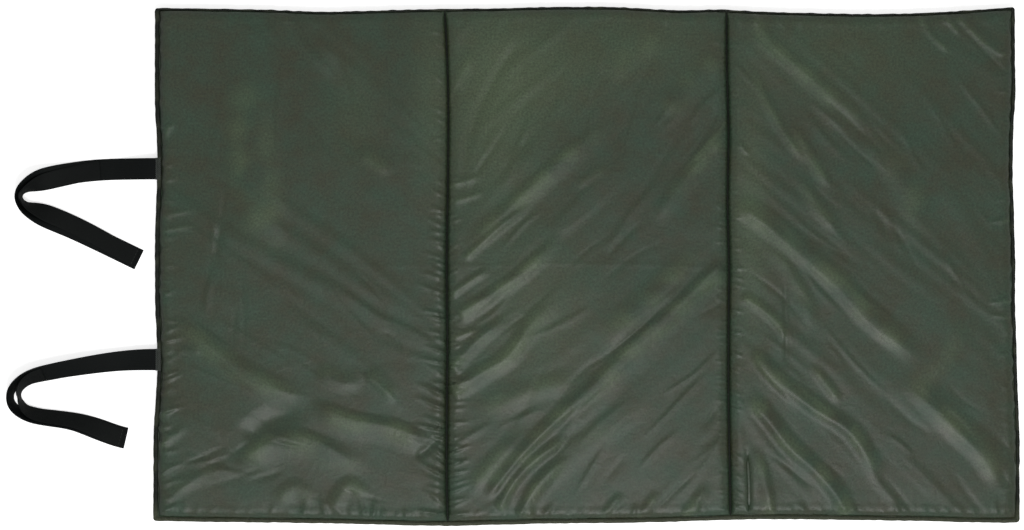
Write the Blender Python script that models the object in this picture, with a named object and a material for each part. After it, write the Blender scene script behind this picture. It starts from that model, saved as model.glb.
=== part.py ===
"""Folding unhooking mat: three padded panels, two sewn folds and two hook-and-loop straps.

The frame's origin is on the ground under the middle of the centre panel. +X runs along
the mat to its plain end, the straps leave its -X end, +Y is the rear long edge and +Z is up.
Every length is in metres.
"""

import math

import bmesh
import bpy
from mathutils import Vector

# Driving sizes of the mat
LEFT_PANEL = 0.339
CENTRE_PANEL = 0.326
RIGHT_PANEL = 0.335
MAT_DEPTH = 0.600
PAD_HEIGHT = 0.022
SEAM_HEIGHT = 0.011
CROWN = 0.0024
DRAG_FOLD = 0.0005
DRAG_FOLD_PITCH = 0.085
DRAW_IN = 0.004
CLEARANCE = 0.0003

# Edge band and the roll of the pads down to it and to the folds
HEM_WIDTH = 0.008
HEM_THICKNESS = 0.0034
HEM_ROLL = 0.014
FOLD_ROLL = 0.020

# Fold: a foam-free strip of doubled cloth with a hinge line along each side
FOLD_WIDTH = 0.026
FOLD_CLOTH = 0.0024
FOLD_END_CLEARANCE = 0.0018
GROOVE_SKIN = 0.0008
GROOVE_WIDTH = 0.003

# Shells and filling
COVER_WALL = 0.0008
FOAM_SLACK = 0.0011

# Thread
THREAD = 0.0008
TOPSTITCH_INSET = 0.0022
STITCH_END_MARGIN = 0.004

# Straps
STRAP_WIDTH = 0.025
WEBBING = 0.0015
STRAP_LENGTH = 0.330
STRAP_REAR_Y = 0.112
STRAP_FRONT_Y = -0.110
STRAP_OUTLET = 0.007
STRAP_STEP = 0.006
TAPE_WIDTH = 0.021
TAPE_THICKNESS = 0.0012
TAPE_MARGIN = 0.003
TIP_STITCH_INSET = 0.006
TACK_WIDTH = 0.0016
TACK_HEIGHT = 0.0007
TACK_INSET = 0.0026

# Loop patches under the centre panel, which the straps' tape grips on the folded mat
PATCH_LENGTH = 0.120
PATCH_WIDTH = 0.030
PATCH_THICKNESS = 0.0012
PATCH_SLOPE = 0.006
PATCH_EASE = 0.001

# Where lines of the pads' grids lie, as shares of a roll or of the space between the rolls
HEM_LINE_SHARES = (0.0, 0.12, 0.36, 0.66, 1.0)
SLACK_LINE_SHARES = (0.0, 0.08, 0.28, 0.60, 1.0)
COLUMNS, TOP_ROWS, COARSE_ROWS = 9, 15, 6
THREAD_SIDES = 6
SHARP_DEGREES = 40

# Lay of each strap: (share of its length, value), headings in degrees from +X
REAR_HEADING_SHARES = (
    (0.00, 180), (0.13, 181), (0.28, 188), (0.40, 194), (0.455, 210), (0.49, 238),
    (0.52, 276), (0.55, 312), (0.585, 334), (0.64, 339), (0.78, 335), (1.00, 334),
)
REAR_LEAN_SHARES = (
    (0.00, 0), (0.28, 3), (0.39, 24), (0.455, 64), (0.50, 80), (0.54, 80), (0.58, 60),
    (0.65, 20), (0.75, 2), (1.00, 0),
)
FRONT_HEADING_SHARES = (
    (0.00, 180), (0.20, 188), (0.34, 191), (0.445, 198), (0.51, 228), (0.555, 272),
    (0.60, 320), (0.655, 347), (0.765, 352), (0.855, 341), (0.93, 339), (1.00, 347),
)
FRONT_LEAN_SHARES = (
    (0.00, 0), (0.12, 20), (0.31, 38), (0.42, 46), (0.505, 72), (0.555, 82), (0.605, 72),
    (0.68, 48), (0.81, 38), (0.93, 8), (1.00, 0),
)
LIFT_OFF_SHARE = 0.16
BEND_START_SHARE = 0.44
BEND_END_SHARE = 0.64

# Finishes: colour, roughness
NYLON = ("nylon", (0.048, 0.058, 0.046, 1.0), 0.62)
BINDING = ("binding", (0.020, 0.025, 0.019, 1.0), 0.70)
FOAM = ("foam", (0.160, 0.165, 0.170, 1.0), 0.95)
WEBBING_FINISH = ("webbing", (0.010, 0.011, 0.011, 1.0), 0.80)
TAPE_FINISH = ("tape", (0.012, 0.013, 0.013, 1.0), 0.92)
THREAD_FINISH = ("thread", (0.010, 0.013, 0.010, 1.0), 0.60)

# Worked out from the driving sizes
SEAM_LEFT = -CENTRE_PANEL / 2
SEAM_RIGHT = CENTRE_PANEL / 2
MAT_LEFT = SEAM_LEFT - LEFT_PANEL
MAT_RIGHT = SEAM_RIGHT + RIGHT_PANEL
HALF_DEPTH = MAT_DEPTH / 2
PAD_HALF_DEPTH = HALF_DEPTH - HEM_WIDTH
PATCH_REACH = PAD_HALF_DEPTH - DRAW_IN
PAD_SETBACK = FOLD_WIDTH / 2 + FOLD_END_CLEARANCE
TOP_RISE = PAD_HEIGHT - CROWN - SEAM_HEIGHT
GROOVE_TOP = SEAM_HEIGHT + FOLD_CLOTH / 2 + CLEARANCE + GROOVE_SKIN


def clear_scene():
    """Remove every object of the open scene."""
    for item in list(bpy.data.objects):
        bpy.data.objects.remove(item, do_unlink=True)


def finish_of(kind):
    """Return the Principled material of one finish."""
    name, colour, roughness = kind
    material = bpy.data.materials.new(name)
    material.use_nodes = True
    shader = material.node_tree.nodes["Principled BSDF"]
    shader.inputs["Base Color"].default_value = colour
    shader.inputs["Roughness"].default_value = roughness
    shader.inputs["Metallic"].default_value = 0.0
    material.diffuse_color = colour
    return material


def add_body(name, place, parent=None):
    """Add the empty that carries one moving body, on its joint's axis."""
    item = bpy.data.objects.new(f"{name}_joint", None)
    item.empty_display_size = SEAM_HEIGHT
    item.location = Vector(place) - (Vector(parent["place"]) if parent else Vector())
    item.parent = parent
    item["place"] = place
    bpy.context.scene.collection.objects.link(item)
    return item


def add_object(name, shape, kind, body):
    """Turn a bmesh, drawn where it lies on the mat, into a named object on its body."""
    bmesh.ops.translate(shape, verts=shape.verts, vec=-Vector(body["place"]))
    bmesh.ops.recalc_face_normals(shape, faces=shape.faces)
    if shape.calc_volume(signed=True) < 0:
        bmesh.ops.reverse_faces(shape, faces=shape.faces)
    mesh = bpy.data.meshes.new(name)
    shape.to_mesh(mesh)
    shape.free()
    mesh.shade_smooth()
    mesh.set_sharp_from_angle(angle=math.radians(SHARP_DEGREES))
    item = bpy.data.objects.new(name, mesh)
    item.parent = body
    item.data.materials.append(finish_of(kind))
    bpy.context.scene.collection.objects.link(item)
    return item


def block(size, place):
    """Return a box of the given size about a place."""
    shape = bmesh.new()
    bmesh.ops.create_cube(shape, size=1)
    bmesh.ops.scale(shape, verts=shape.verts, vec=size)
    bmesh.ops.translate(shape, verts=shape.verts, vec=place)
    return shape


def eased(table, share):
    """Read a table of (share, value) through a smooth curve."""
    last = len(table) - 1
    low = max(i for i in range(last) if table[i][0] <= share or i == 0)
    before, start = table[max(low - 1, 0)], table[low]
    end, after = table[low + 1], table[min(low + 2, last)]
    span = end[0] - start[0]
    part = (share - start[0]) / span
    slope_start = (end[1] - before[1]) / (end[0] - before[0]) * span
    slope_end = (after[1] - start[1]) / (after[0] - start[0]) * span
    return (
        start[1] * (2 * part ** 3 - 3 * part ** 2 + 1)
        + slope_start * (part ** 3 - 2 * part ** 2 + part)
        + end[1] * (3 * part ** 2 - 2 * part ** 3)
        + slope_end * (part ** 3 - part ** 2)
    )


def smooth_step(part):
    """Return an even S-curve from nought to one."""
    part = min(max(part, 0), 1)
    return part * part * (3 - 2 * part)


def roll(distance, reach):
    """Return how far a pad has risen, nought to one, at a distance in from its edge."""
    part = min(max(distance / reach, 0), 1)
    return math.sqrt(1 - (1 - part) ** 2)


def fold_rise(distance):
    """Return how far a skin has risen, nought to one, at a distance from a fold's seam."""
    return roll(distance - GROOVE_WIDTH / 2, FOLD_ROLL - GROOVE_WIDTH / 2)


class Panel:
    """One padded panel: where its pad starts and ends and what holds each end."""

    def __init__(self, name, low, high, low_is_hem, high_is_hem):
        self.name = name
        self.low = low + (HEM_WIDTH if low_is_hem else PAD_SETBACK)
        self.high = high - (HEM_WIDTH if high_is_hem else PAD_SETBACK)
        self.low_is_hem = low_is_hem
        self.high_is_hem = high_is_hem
        self.middle = (self.low + self.high) / 2
        self.half = (self.high - self.low) / 2

    def end_rise(self, x):
        """Return the rise that the panel's two ends leave at x."""
        low, high = x - self.low, self.high - x
        low_rise = roll(low, HEM_ROLL) if self.low_is_hem else fold_rise(low + PAD_SETBACK)
        high_rise = roll(high, HEM_ROLL) if self.high_is_hem else fold_rise(high + PAD_SETBACK)
        return low_rise * high_rise

    def columns(self):
        """Return the x of each grid line, close together where the pad rolls over."""
        low_roll = HEM_ROLL if self.low_is_hem else FOLD_ROLL - PAD_SETBACK
        high_roll = HEM_ROLL if self.high_is_hem else FOLD_ROLL - PAD_SETBACK
        low_lines = HEM_LINE_SHARES if self.low_is_hem else (0, 1)
        high_lines = HEM_LINE_SHARES if self.high_is_hem else (0, 1)
        start, end = self.low + low_roll, self.high - high_roll
        lines = [self.low + low_roll * s for s in low_lines]
        lines += [start + (end - start) * i / COLUMNS for i in range(1, COLUMNS)]
        lines += [self.high - high_roll * s for s in reversed(high_lines)]
        if self.name == "centre":
            lines = patch_lines(lines, [(-PATCH_LENGTH / 2, PATCH_LENGTH / 2)])
        return lines


def patch_lines(lines, spans):
    """Add grid lines at both ends of each span and at both ends of its slope."""
    extra = []
    for low, high in spans:
        low, high = low - PATCH_EASE, high + PATCH_EASE
        extra += [low - PATCH_SLOPE, low, high, high + PATCH_SLOPE]
    kept = [v for v in lines if all(abs(v - e) > PATCH_SLOPE for e in extra)]
    return sorted(kept + extra)


PANELS = (
    Panel("left", MAT_LEFT, SEAM_LEFT, True, False),
    Panel("centre", SEAM_LEFT, SEAM_RIGHT, False, False),
    Panel("right", SEAM_RIGHT, MAT_RIGHT, False, True),
)


def edge_bow(panel, x):
    """Return how far the long edges are drawn in at x, most at the panel's middle."""
    across = (x - panel.middle) / panel.half
    return DRAW_IN * max(1 - across * across, 0)


def rows(shares, count):
    """Return each grid line's signed share of the pad's half depth, front to rear."""
    reach = HEM_ROLL / PAD_HALF_DEPTH
    front = [-1 + reach * s for s in shares]
    inner = 1 - reach
    middle = [-inner + 2 * inner * i / count for i in range(1, count)]
    return front + middle + [-v for v in reversed(front)]


def top_height(panel, x, row):
    """Return the top skin's height above the seam height."""
    rise = panel.end_rise(x) * roll((1 - abs(row)) * PAD_HALF_DEPTH, HEM_ROLL)
    across = (x - panel.middle) / panel.half
    bell = max(1 - across * across, 0) * (1 - row * row)
    slant = x + row * PAD_HALF_DEPTH * (1 if panel.name == "right" else -1)
    drag = DRAG_FOLD * math.sin(2 * math.pi * slant / DRAG_FOLD_PITCH) * bell
    return TOP_RISE * rise + CROWN * bell + drag


def patch_dent(panel, x, y):
    """Return how far the bottom skin is pressed up over a loop patch."""
    if panel.name != "centre":
        return 0
    depth = PATCH_THICKNESS + CLEARANCE
    reach = PATCH_EASE + PATCH_SLOPE
    along = smooth_step((PATCH_LENGTH / 2 + reach - abs(x)) / PATCH_SLOPE)
    across = max(
        smooth_step((PATCH_WIDTH / 2 + reach - abs(y - centre)) / PATCH_SLOPE)
        for centre in (STRAP_REAR_Y, STRAP_FRONT_Y)
    )
    return depth * along * across


def bottom_height(panel, x, row):
    """Return the bottom skin's drop below the seam height, which ends flat on the ground."""
    rise = panel.end_rise(x) * roll((1 - abs(row)) * PAD_HALF_DEPTH, HEM_ROLL)
    return (SEAM_HEIGHT - CLEARANCE / 2) * rise - patch_dent(panel, x, row * PATCH_REACH)


def add_grid(shape, panel, row_shares, height, way, shrink):
    """Add one skin of a pad as a grid, moved in from the outer skin by shrink."""
    xs = panel.columns()
    made = bmesh.ops.create_grid(shape, x_segments=len(xs) - 1, y_segments=len(row_shares) - 1, size=1)
    ordered = sorted(made["verts"], key=lambda v: (round(v.co.y, 6), round(v.co.x, 6)))
    full = SEAM_HEIGHT if way < 0 else PAD_HEIGHT - SEAM_HEIGHT
    for index, vert in enumerate(ordered):
        x = xs[index % len(xs)]
        row = row_shares[index // len(xs)]
        lift = CLEARANCE / 2 + height(panel, x, row) * (full - shrink) / full
        y = row * (PAD_HALF_DEPTH - shrink - edge_bow(panel, x))
        place = panel.middle + (x - panel.middle) * (panel.half - shrink) / panel.half
        vert.co = (place, y, SEAM_HEIGHT + way * lift)
    return made["verts"]


def rim_edges(verts):
    """Return the open edges round a grid."""
    chosen = set(verts)
    edges = {edge for vert in verts for edge in vert.link_edges}
    return [e for e in edges if e.is_boundary and chosen.issuperset(e.verts)]


def bridge_skins(shape, one, other):
    """Close the gap between the rims of two skins."""
    bmesh.ops.bridge_loops(shape, edges=rim_edges(one) + rim_edges(other))


def coarse_rows(panel):
    """Return the rows of the bottom skin and the foam, which follow the loop patches."""
    row_shares = rows(HEM_LINE_SHARES[::2], COARSE_ROWS)
    if panel.name != "centre":
        return row_shares
    spans = [(c - PATCH_WIDTH / 2, c + PATCH_WIDTH / 2) for c in (STRAP_FRONT_Y, STRAP_REAR_Y)]
    ys = patch_lines([row * PATCH_REACH for row in row_shares], spans)
    return [y / PATCH_REACH for y in ys]


def build_covers(panel, body):
    """Build the panel's two nylon skins, each a thin shell."""
    top_rows = rows(HEM_LINE_SHARES, TOP_ROWS)
    skins = (("top", top_rows, top_height, 1), ("bottom", coarse_rows(panel), bottom_height, -1))
    for side, lines, height, way in skins:
        shape = bmesh.new()
        outer = add_grid(shape, panel, lines, height, way, 0)
        inner = add_grid(shape, panel, lines, height, way, COVER_WALL)
        bridge_skins(shape, outer, inner)
        add_object(f"{side}_cover_{panel.name}", shape, NYLON, body)


def build_foam(panel, body):
    """Build the foam slab that fills the panel."""
    shape = bmesh.new()
    lines = coarse_rows(panel)
    upper = add_grid(shape, panel, lines, top_height, 1, COVER_WALL + FOAM_SLACK)
    lower = add_grid(shape, panel, lines, bottom_height, -1, COVER_WALL + CLEARANCE)
    bridge_skins(shape, upper, lower)
    add_object(f"foam_core_{panel.name}", shape, FOAM, body)


def sweep(shape, rings):
    """Join a run of rings of points into one closed solid with flat ends."""
    loops = []
    for ring in rings:
        verts = [shape.verts.new(point) for point in ring]
        loops.append([shape.edges.new((verts[i - 1], verts[i])) for i in range(len(verts))])
    for one, other in zip(loops, loops[1:]):
        bmesh.ops.bridge_loops(shape, edges=one + other)
    for edges in (loops[0], loops[-1]):
        bmesh.ops.contextual_create(shape, geom=edges)
    bmesh.ops.triangulate(shape, faces=[f for f in shape.faces if len(f.verts) > 4])


def build_fold(name, seam, body):
    """Build one fold: its stitched cloth strip, its slack skins and its line of thread."""
    strip = block((FOLD_WIDTH - CLEARANCE, MAT_DEPTH, FOLD_CLOTH), (seam, 0, SEAM_HEIGHT))
    add_object(f"{name}_fold_cloth", strip, BINDING, body)

    reach = PAD_SETBACK - CLEARANCE
    groove = GROOVE_WIDTH / 2
    offsets = [groove + (reach - groove) * s for s in SLACK_LINE_SHARES]
    across = [-v for v in reversed(offsets)] + offsets
    lines = rows(HEM_LINE_SHARES, COARSE_ROWS)
    inner = SEAM_HEIGHT + FOLD_CLOTH / 2 + CLEARANCE
    for side, way, full in (("top", 1, PAD_HEIGHT - CROWN), ("bottom", -1, 2 * SEAM_HEIGHT)):
        rings = []
        for row in lines:
            end_rise = roll((1 - abs(row)) * PAD_HALF_DEPTH, HEM_ROLL)
            ring = []
            for offset in across:
                rise = (full - GROOVE_TOP) * end_rise * fold_rise(abs(offset))
                ring.append((seam + offset, row * PAD_HALF_DEPTH, GROOVE_TOP + rise))
            ring += [(seam + reach, ring[0][1], inner), (seam - reach, ring[0][1], inner)]
            rings.append([(x, y, SEAM_HEIGHT + way * (z - SEAM_HEIGHT)) for x, y, z in ring])
        shape = bmesh.new()
        sweep(shape, rings)
        add_object(f"{name}_fold_slack_{side}", shape, NYLON, body)

    height = GROOVE_TOP + CLEARANCE + THREAD / 2
    ends = [(seam, way * (PAD_HALF_DEPTH - STITCH_END_MARGIN), height) for way in (-1, 1)]
    build_thread(f"{name}_fold_stitching", ends, body)


def build_thread(name, points, body):
    """Build a line of thread along the points, as one round cord."""
    points = [Vector(p) for p in points]
    rings = []
    for index, point in enumerate(points):
        ahead = (points[min(index + 1, len(points) - 1)] - point).normalized()
        behind = (point - points[max(index - 1, 0)]).normalized()
        along = (ahead + behind).normalized()
        side = along.cross(Vector((0, 0, 1))).normalized()
        up = side.cross(along)
        miter = max(along.dot(ahead if ahead.length else behind), math.cos(math.radians(45)))
        ring = []
        for step in range(THREAD_SIDES):
            angle = 2 * math.pi * step / THREAD_SIDES
            offset = side * (math.cos(angle) / miter) + up * math.sin(angle)
            ring.append(point + offset * (THREAD / 2))
        rings.append(ring)
    shape = bmesh.new()
    sweep(shape, rings)
    return add_object(name, shape, THREAD_FINISH, body)


def hem_line(panel, inset, way):
    """Return points along a long edge's band, at an inset from the band's inner side."""
    reach = PAD_HALF_DEPTH + inset
    return [(x, way * (reach - edge_bow(panel, x))) for x in panel.columns()]


def build_hem(name, inner, outer, body):
    """Build a flat band between its inner and outer lines of plan points."""
    half = HEM_THICKNESS / 2
    rings = []
    for (ix, iy), (ox, oy) in zip(inner, outer):
        rings.append([
            (ix, iy, SEAM_HEIGHT - half), (ox, oy, SEAM_HEIGHT - half),
            (ox, oy, SEAM_HEIGHT + half), (ix, iy, SEAM_HEIGHT + half),
        ])
    shape = bmesh.new()
    sweep(shape, rings)
    return add_object(name, shape, BINDING, body)


def build_hems(panel, body):
    """Build the bands round a panel's free edges."""
    for side, way in (("front", -1), ("rear", 1)):
        inner = hem_line(panel, CLEARANCE, way)
        outer = hem_line(panel, HEM_WIDTH, way)
        build_hem(f"{panel.name}_{side}_hem", inner, outer, body)
    if panel.name == "centre":
        return
    way = -1 if panel.low_is_hem else 1
    rim = panel.low if panel.low_is_hem else panel.high
    inner = [(rim + way * CLEARANCE, y) for y in (-HALF_DEPTH, HALF_DEPTH)]
    outer = [(rim + way * HEM_WIDTH, y) for y in (-HALF_DEPTH, HALF_DEPTH)]
    hem = build_hem(f"{panel.name}_end_hem", inner, outer, body)
    if panel.low_is_hem:
        cut_strap_slots(hem, body)


def build_topstitch(panel, body):
    """Run the topstitch along the panel's bands: round three sides, or along two."""
    height = SEAM_HEIGHT + HEM_THICKNESS / 2 + CLEARANCE + THREAD / 2
    front, rear = (
        [(x, y, height) for x, y in hem_line(panel, TOPSTITCH_INSET, way)] for way in (-1, 1)
    )
    if panel.name == "centre":
        build_thread("centre_topstitch_front", front, body)
        build_thread("centre_topstitch_rear", rear, body)
        return
    corner = panel.high + TOPSTITCH_INSET
    if panel.low_is_hem:
        corner = panel.low - TOPSTITCH_INSET
        front, rear = front[::-1], rear[::-1]
    end_run = [(corner, front[-1][1], height), (corner, rear[-1][1], height)]
    build_thread(f"{panel.name}_topstitch", front + end_run + rear[::-1], body)


def cut_strap_slots(hem, body):
    """Cut the pockets in the end band that the straps' roots are sewn into."""
    cutter = bmesh.new()
    for centre in (STRAP_REAR_Y, STRAP_FRONT_Y):
        made = bmesh.ops.create_cube(cutter, size=1)
        size = (3 * HEM_WIDTH, STRAP_WIDTH + 2 * CLEARANCE, WEBBING + 2 * CLEARANCE)
        bmesh.ops.scale(cutter, verts=made["verts"], vec=size)
        bmesh.ops.translate(cutter, verts=made["verts"], vec=(MAT_LEFT, centre, SEAM_HEIGHT))
    tool = add_object("strap_slot_cutter", cutter, BINDING, body)
    tool.hide_render = True
    tool.display_type = "WIRE"
    cut = hem.modifiers.new("strap slots", "BOOLEAN")
    cut.operation = "DIFFERENCE"
    cut.object = tool


def strap_frames(centre_y, headings, leans):
    """Return evenly spaced (share, centre, width direction, face normal) along a strap."""
    count = round(STRAP_LENGTH / STRAP_STEP)
    step = STRAP_LENGTH / count
    x, y = MAT_LEFT - CLEARANCE, centre_y
    plan = []
    for index in range(count + 1):
        plan.append((x, y))
        heading = math.radians(eased(headings, (index + 0.5) / count)) if index < count else 0
        x += step * math.cos(heading)
        y += step * math.sin(heading)
    frames = []
    for index, (x, y) in enumerate(plan):
        share = index / count
        lean = math.radians(eased(leans, share))
        rest = STRAP_WIDTH / 2 * math.sin(lean) + WEBBING / 2 * math.cos(lean)
        settled = smooth_step(share / LIFT_OFF_SHARE)
        height = SEAM_HEIGHT * (1 - settled) + rest * settled
        heading = math.radians(eased(headings, share))
        # the outer edge of the turn rises, so the face turns in towards the bend
        outward = Vector((math.sin(heading), -math.cos(heading), 0))
        width = outward * math.cos(lean) + Vector((0, 0, 1)) * math.sin(lean)
        normal = -outward * math.sin(lean) + Vector((0, 0, 1)) * math.cos(lean)
        frames.append((share, Vector((x, y, height)), width, normal))
    return frames


def ribbon_rings(frames, width, low, high):
    """Return the corner rings of a flat strip between two offsets along the face normal."""
    rings = []
    for _, centre, across, normal in frames:
        side = across * (width / 2)
        rings.append([
            centre - side + normal * low, centre + side + normal * low,
            centre + side + normal * high, centre - side + normal * high,
        ])
    return rings


def trimmed(frames, low, high):
    """Return the frames between two shares, with both ends placed exactly."""
    def at(share):
        after = next(f for f in frames if f[0] >= share - 1e-9)
        index = max(frames.index(after), 1)
        one, two = frames[index - 1], frames[index]
        part = (share - one[0]) / (two[0] - one[0])
        mixed = [one[i].lerp(two[i], part) for i in (1, 2, 3)]
        return (share, mixed[0], mixed[1].normalized(), mixed[2].normalized())

    kept = [f for f in frames if low + 1e-6 < f[0] < high - 1e-6]
    return [at(low)] + kept + [at(high)]


def bend_middle(frames):
    """Return the upright axis of a strap's bend: the middle of the bend's two ends, on the ground."""
    ends = trimmed(frames, BEND_START_SHARE, BEND_END_SHARE)
    middle = (ends[0][1] + ends[-1][1]) / 2
    return (middle.x, middle.y, 0)


def build_webbing(name, frames, run_body, end_body):
    """Build a strap's webbing: the run from the mat, the bend and the free end."""
    gap = CLEARANCE / STRAP_LENGTH
    stretches = (
        ("run", STRAP_OUTLET / STRAP_LENGTH + gap, BEND_START_SHARE - gap, run_body),
        ("bend", BEND_START_SHARE, BEND_END_SHARE, run_body),
        ("end", BEND_END_SHARE + gap, 1, end_body),
    )
    for label, low, high, body in stretches:
        shape = bmesh.new()
        sweep(shape, ribbon_rings(trimmed(frames, low, high), STRAP_WIDTH, -WEBBING / 2, WEBBING / 2))
        add_object(f"{name}_strap_{label}", shape, WEBBING_FINISH, body)


def build_tape(name, frames, body):
    """Build the hook tape on a strap's free end and the thread across its tip."""
    margin = TAPE_MARGIN / STRAP_LENGTH
    face = WEBBING / 2 + CLEARANCE
    taped = trimmed(frames, BEND_END_SHARE + margin, 1 - margin)
    tape = bmesh.new()
    sweep(tape, ribbon_rings(taped, TAPE_WIDTH, face, face + TAPE_THICKNESS))
    add_object(f"{name}_strap_hook_tape", tape, TAPE_FINISH, body)

    _, centre, across, normal = trimmed(frames, 0, 1 - TIP_STITCH_INSET / STRAP_LENGTH)[-1]
    centre = centre + normal * (face + TAPE_THICKNESS + CLEARANCE + THREAD / 2)
    reach = across * (TAPE_WIDTH / 2 - THREAD)
    build_thread(f"{name}_strap_tip_stitch", [centre - reach, centre + reach], body)


def build_root(name, centre_y, frames, body):
    """Build the strap's root, from inside the end band to where it lifts, and its bar tack."""
    outlet = trimmed(frames, 0, STRAP_OUTLET / STRAP_LENGTH)
    _, mouth, across, normal = outlet[0]
    inner = mouth + Vector((HEM_WIDTH, 0, 0))
    root = bmesh.new()
    frames = [(0, inner, across, normal)] + outlet
    sweep(root, ribbon_rings(frames, STRAP_WIDTH, -WEBBING / 2, WEBBING / 2))
    add_object(f"{name}_strap_root", root, WEBBING_FINISH, body)
    height = SEAM_HEIGHT + HEM_THICKNESS / 2 + CLEARANCE + TACK_HEIGHT / 2
    tack = block((TACK_WIDTH, STRAP_WIDTH, TACK_HEIGHT), (MAT_LEFT + TACK_INSET, centre_y, height))
    top_edges = [e for e in tack.edges if all(v.co.z > height for v in e.verts)]
    bmesh.ops.bevel(
        tack, geom=top_edges, offset=TACK_HEIGHT / 3, segments=1, affect="EDGES", profile=0.5,
        material=-1)
    add_object(f"{name}_strap_bar_tack", tack, THREAD_FINISH, body)


def build_patch(name, centre_y, body):
    """Build a loop patch, sewn to the underside of the centre panel."""
    size = (PATCH_LENGTH, PATCH_WIDTH, PATCH_THICKNESS)
    patch = block(size, (0, centre_y, PATCH_THICKNESS / 2))
    add_object(f"{name}_loop_patch", patch, TAPE_FINISH, body)


def main():
    """Build the whole mat, body by body."""
    clear_scene()
    hinge = FOLD_WIDTH / 2
    centre = add_body("centre_panel", (0, 0, 0))
    left_fold = add_body("left_fold", (SEAM_LEFT + hinge, 0, SEAM_HEIGHT), centre)
    left = add_body("left_panel", (SEAM_LEFT - hinge, 0, SEAM_HEIGHT), left_fold)
    right_fold = add_body("right_fold", (SEAM_RIGHT - hinge, 0, SEAM_HEIGHT), centre)
    right = add_body("right_panel", (SEAM_RIGHT + hinge, 0, SEAM_HEIGHT), right_fold)
    for panel, body in zip(PANELS, (left, centre, right)):
        build_covers(panel, body)
        build_foam(panel, body)
        build_hems(panel, body)
        build_topstitch(panel, body)
    build_fold("left", SEAM_LEFT, left_fold)
    build_fold("right", SEAM_RIGHT, right_fold)
    straps = (
        ("rear", STRAP_REAR_Y, REAR_HEADING_SHARES, REAR_LEAN_SHARES),
        ("front", STRAP_FRONT_Y, FRONT_HEADING_SHARES, FRONT_LEAN_SHARES),
    )
    for name, centre_y, headings, leans in straps:
        frames = strap_frames(centre_y, headings, leans)
        # the strap lifts about the middle of the curl that its outlet makes over the band
        curl = STRAP_OUTLET / 2
        run_body = add_body(
            f"{name}_strap", (MAT_LEFT - curl, centre_y, SEAM_HEIGHT + curl), left)
        end_body = add_body(f"{name}_strap_tail", bend_middle(frames), run_body)
        build_root(name, centre_y, frames, left)
        build_webbing(name, frames, run_body, end_body)
        build_tape(name, frames, end_body)
        build_patch(name, centre_y, centre)


main()
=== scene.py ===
"""Looks of a folding unhooking mat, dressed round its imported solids.

The mat is three padded nylon panels sewn along two folds, with a turned and topstitched
edge band and two webbing straps that leave its left edge. Everything is in metres, in the
frame of the solids: +X along the mat, +Y towards the rear long edge, +Z up.
"""

import logging
import math
from dataclasses import dataclass
from enum import Enum
from typing import NamedTuple

import bmesh
import bpy
import numpy as np
from mathutils import Matrix, Vector


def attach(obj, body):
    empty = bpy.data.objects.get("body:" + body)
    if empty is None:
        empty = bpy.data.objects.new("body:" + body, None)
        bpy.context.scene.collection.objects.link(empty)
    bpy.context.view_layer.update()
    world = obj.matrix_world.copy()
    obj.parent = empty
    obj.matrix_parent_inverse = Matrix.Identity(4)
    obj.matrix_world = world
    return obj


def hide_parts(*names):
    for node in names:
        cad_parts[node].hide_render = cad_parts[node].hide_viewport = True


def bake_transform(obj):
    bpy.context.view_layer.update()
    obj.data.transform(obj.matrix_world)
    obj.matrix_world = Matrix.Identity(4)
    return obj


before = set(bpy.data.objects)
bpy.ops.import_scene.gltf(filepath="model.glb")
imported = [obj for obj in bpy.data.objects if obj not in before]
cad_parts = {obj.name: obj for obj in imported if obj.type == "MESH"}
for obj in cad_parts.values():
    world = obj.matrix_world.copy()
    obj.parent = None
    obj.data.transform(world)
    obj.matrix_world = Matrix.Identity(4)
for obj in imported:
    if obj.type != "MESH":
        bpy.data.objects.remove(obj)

MM = 0.001
SEED = 41
# Rough size of one panel's cover, which sets how many grid lines it gets
PANEL_LENGTH, PANEL_DEPTH = 0.33, 0.59
log = logging.getLogger("mat")

Array = np.ndarray
Pair = tuple[Array, Array]
Point = tuple[float, float]
Place = tuple[float, float, float]
Table = tuple[Point, ...]
Owner = bpy.types.Material | bpy.types.World


class Side(Enum):
    """The side of the mat that a skin or a band is on."""

    TOP = 1
    BOTTOM = -1


class Grip(Enum):
    """What holds one end of a panel: the edge band or a sewn fold."""

    BAND = "band"
    FOLD = "fold"


# Lines through the mat, in millimetres, as its cloth lies

REAR_EDGE: Table = (
    (-503, 299), (-442, 298.2), (-366, 296.7), (-308, 294.6), (-264, 295.4), (-208, 297),
    (-166, 297.8), (-98, 298.6), (-54, 299.9), (-13, 300.3), (38, 299.8), (70, 298),
    (114, 296.2), (151, 297.2), (200, 294.8), (267, 292.9), (335, 292), (380, 292.8),
    (436, 295.7), (481, 298.8), (498, 300),
)
FRONT_EDGE: Table = (
    (-504, -297.7), (-420, -299.2), (-353, -299.9), (-286, -301), (-219, -302.6),
    (-160, -303.6), (-114, -302.4), (-45, -300.8), (24, -300.1), (93, -298.9),
    (131, -297.5), (178, -296.2), (245, -295.9), (335, -297.2), (402, -298.1),
    (459, -299.8), (502, -299.6),
)
LEFT_EDGE: Table = (
    (-298, -505), (-245, -504.5), (-200, -504.5), (-156, -501.9), (-122, -500.2),
    (-98, -500.2), (-67, -501.8), (0, -502.9), (64, -501.8), (99, -500.2), (125, -500.2),
    (145, -500.6), (186, -502.8), (241, -502.9), (299, -502.9),
)
RIGHT_EDGE: Table = (
    (-299, 502.8), (-248, 502.8), (-192, 502.6), (-146, 500.6), (-101, 499.4),
    (-45, 497.7), (0, 497.8), (60, 496.2), (105, 494.9), (150, 495.4), (207, 498.1),
    (252, 497.4), (300, 497.3),
)
LEFT_SEAM: Table = (
    (-304, -162), (-253, -163.3), (-184, -163.3), (-92, -162.6), (0, -163.3),
    (105, -162), (193, -161.7), (251, -163.3), (298, -165.9),
)
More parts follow.
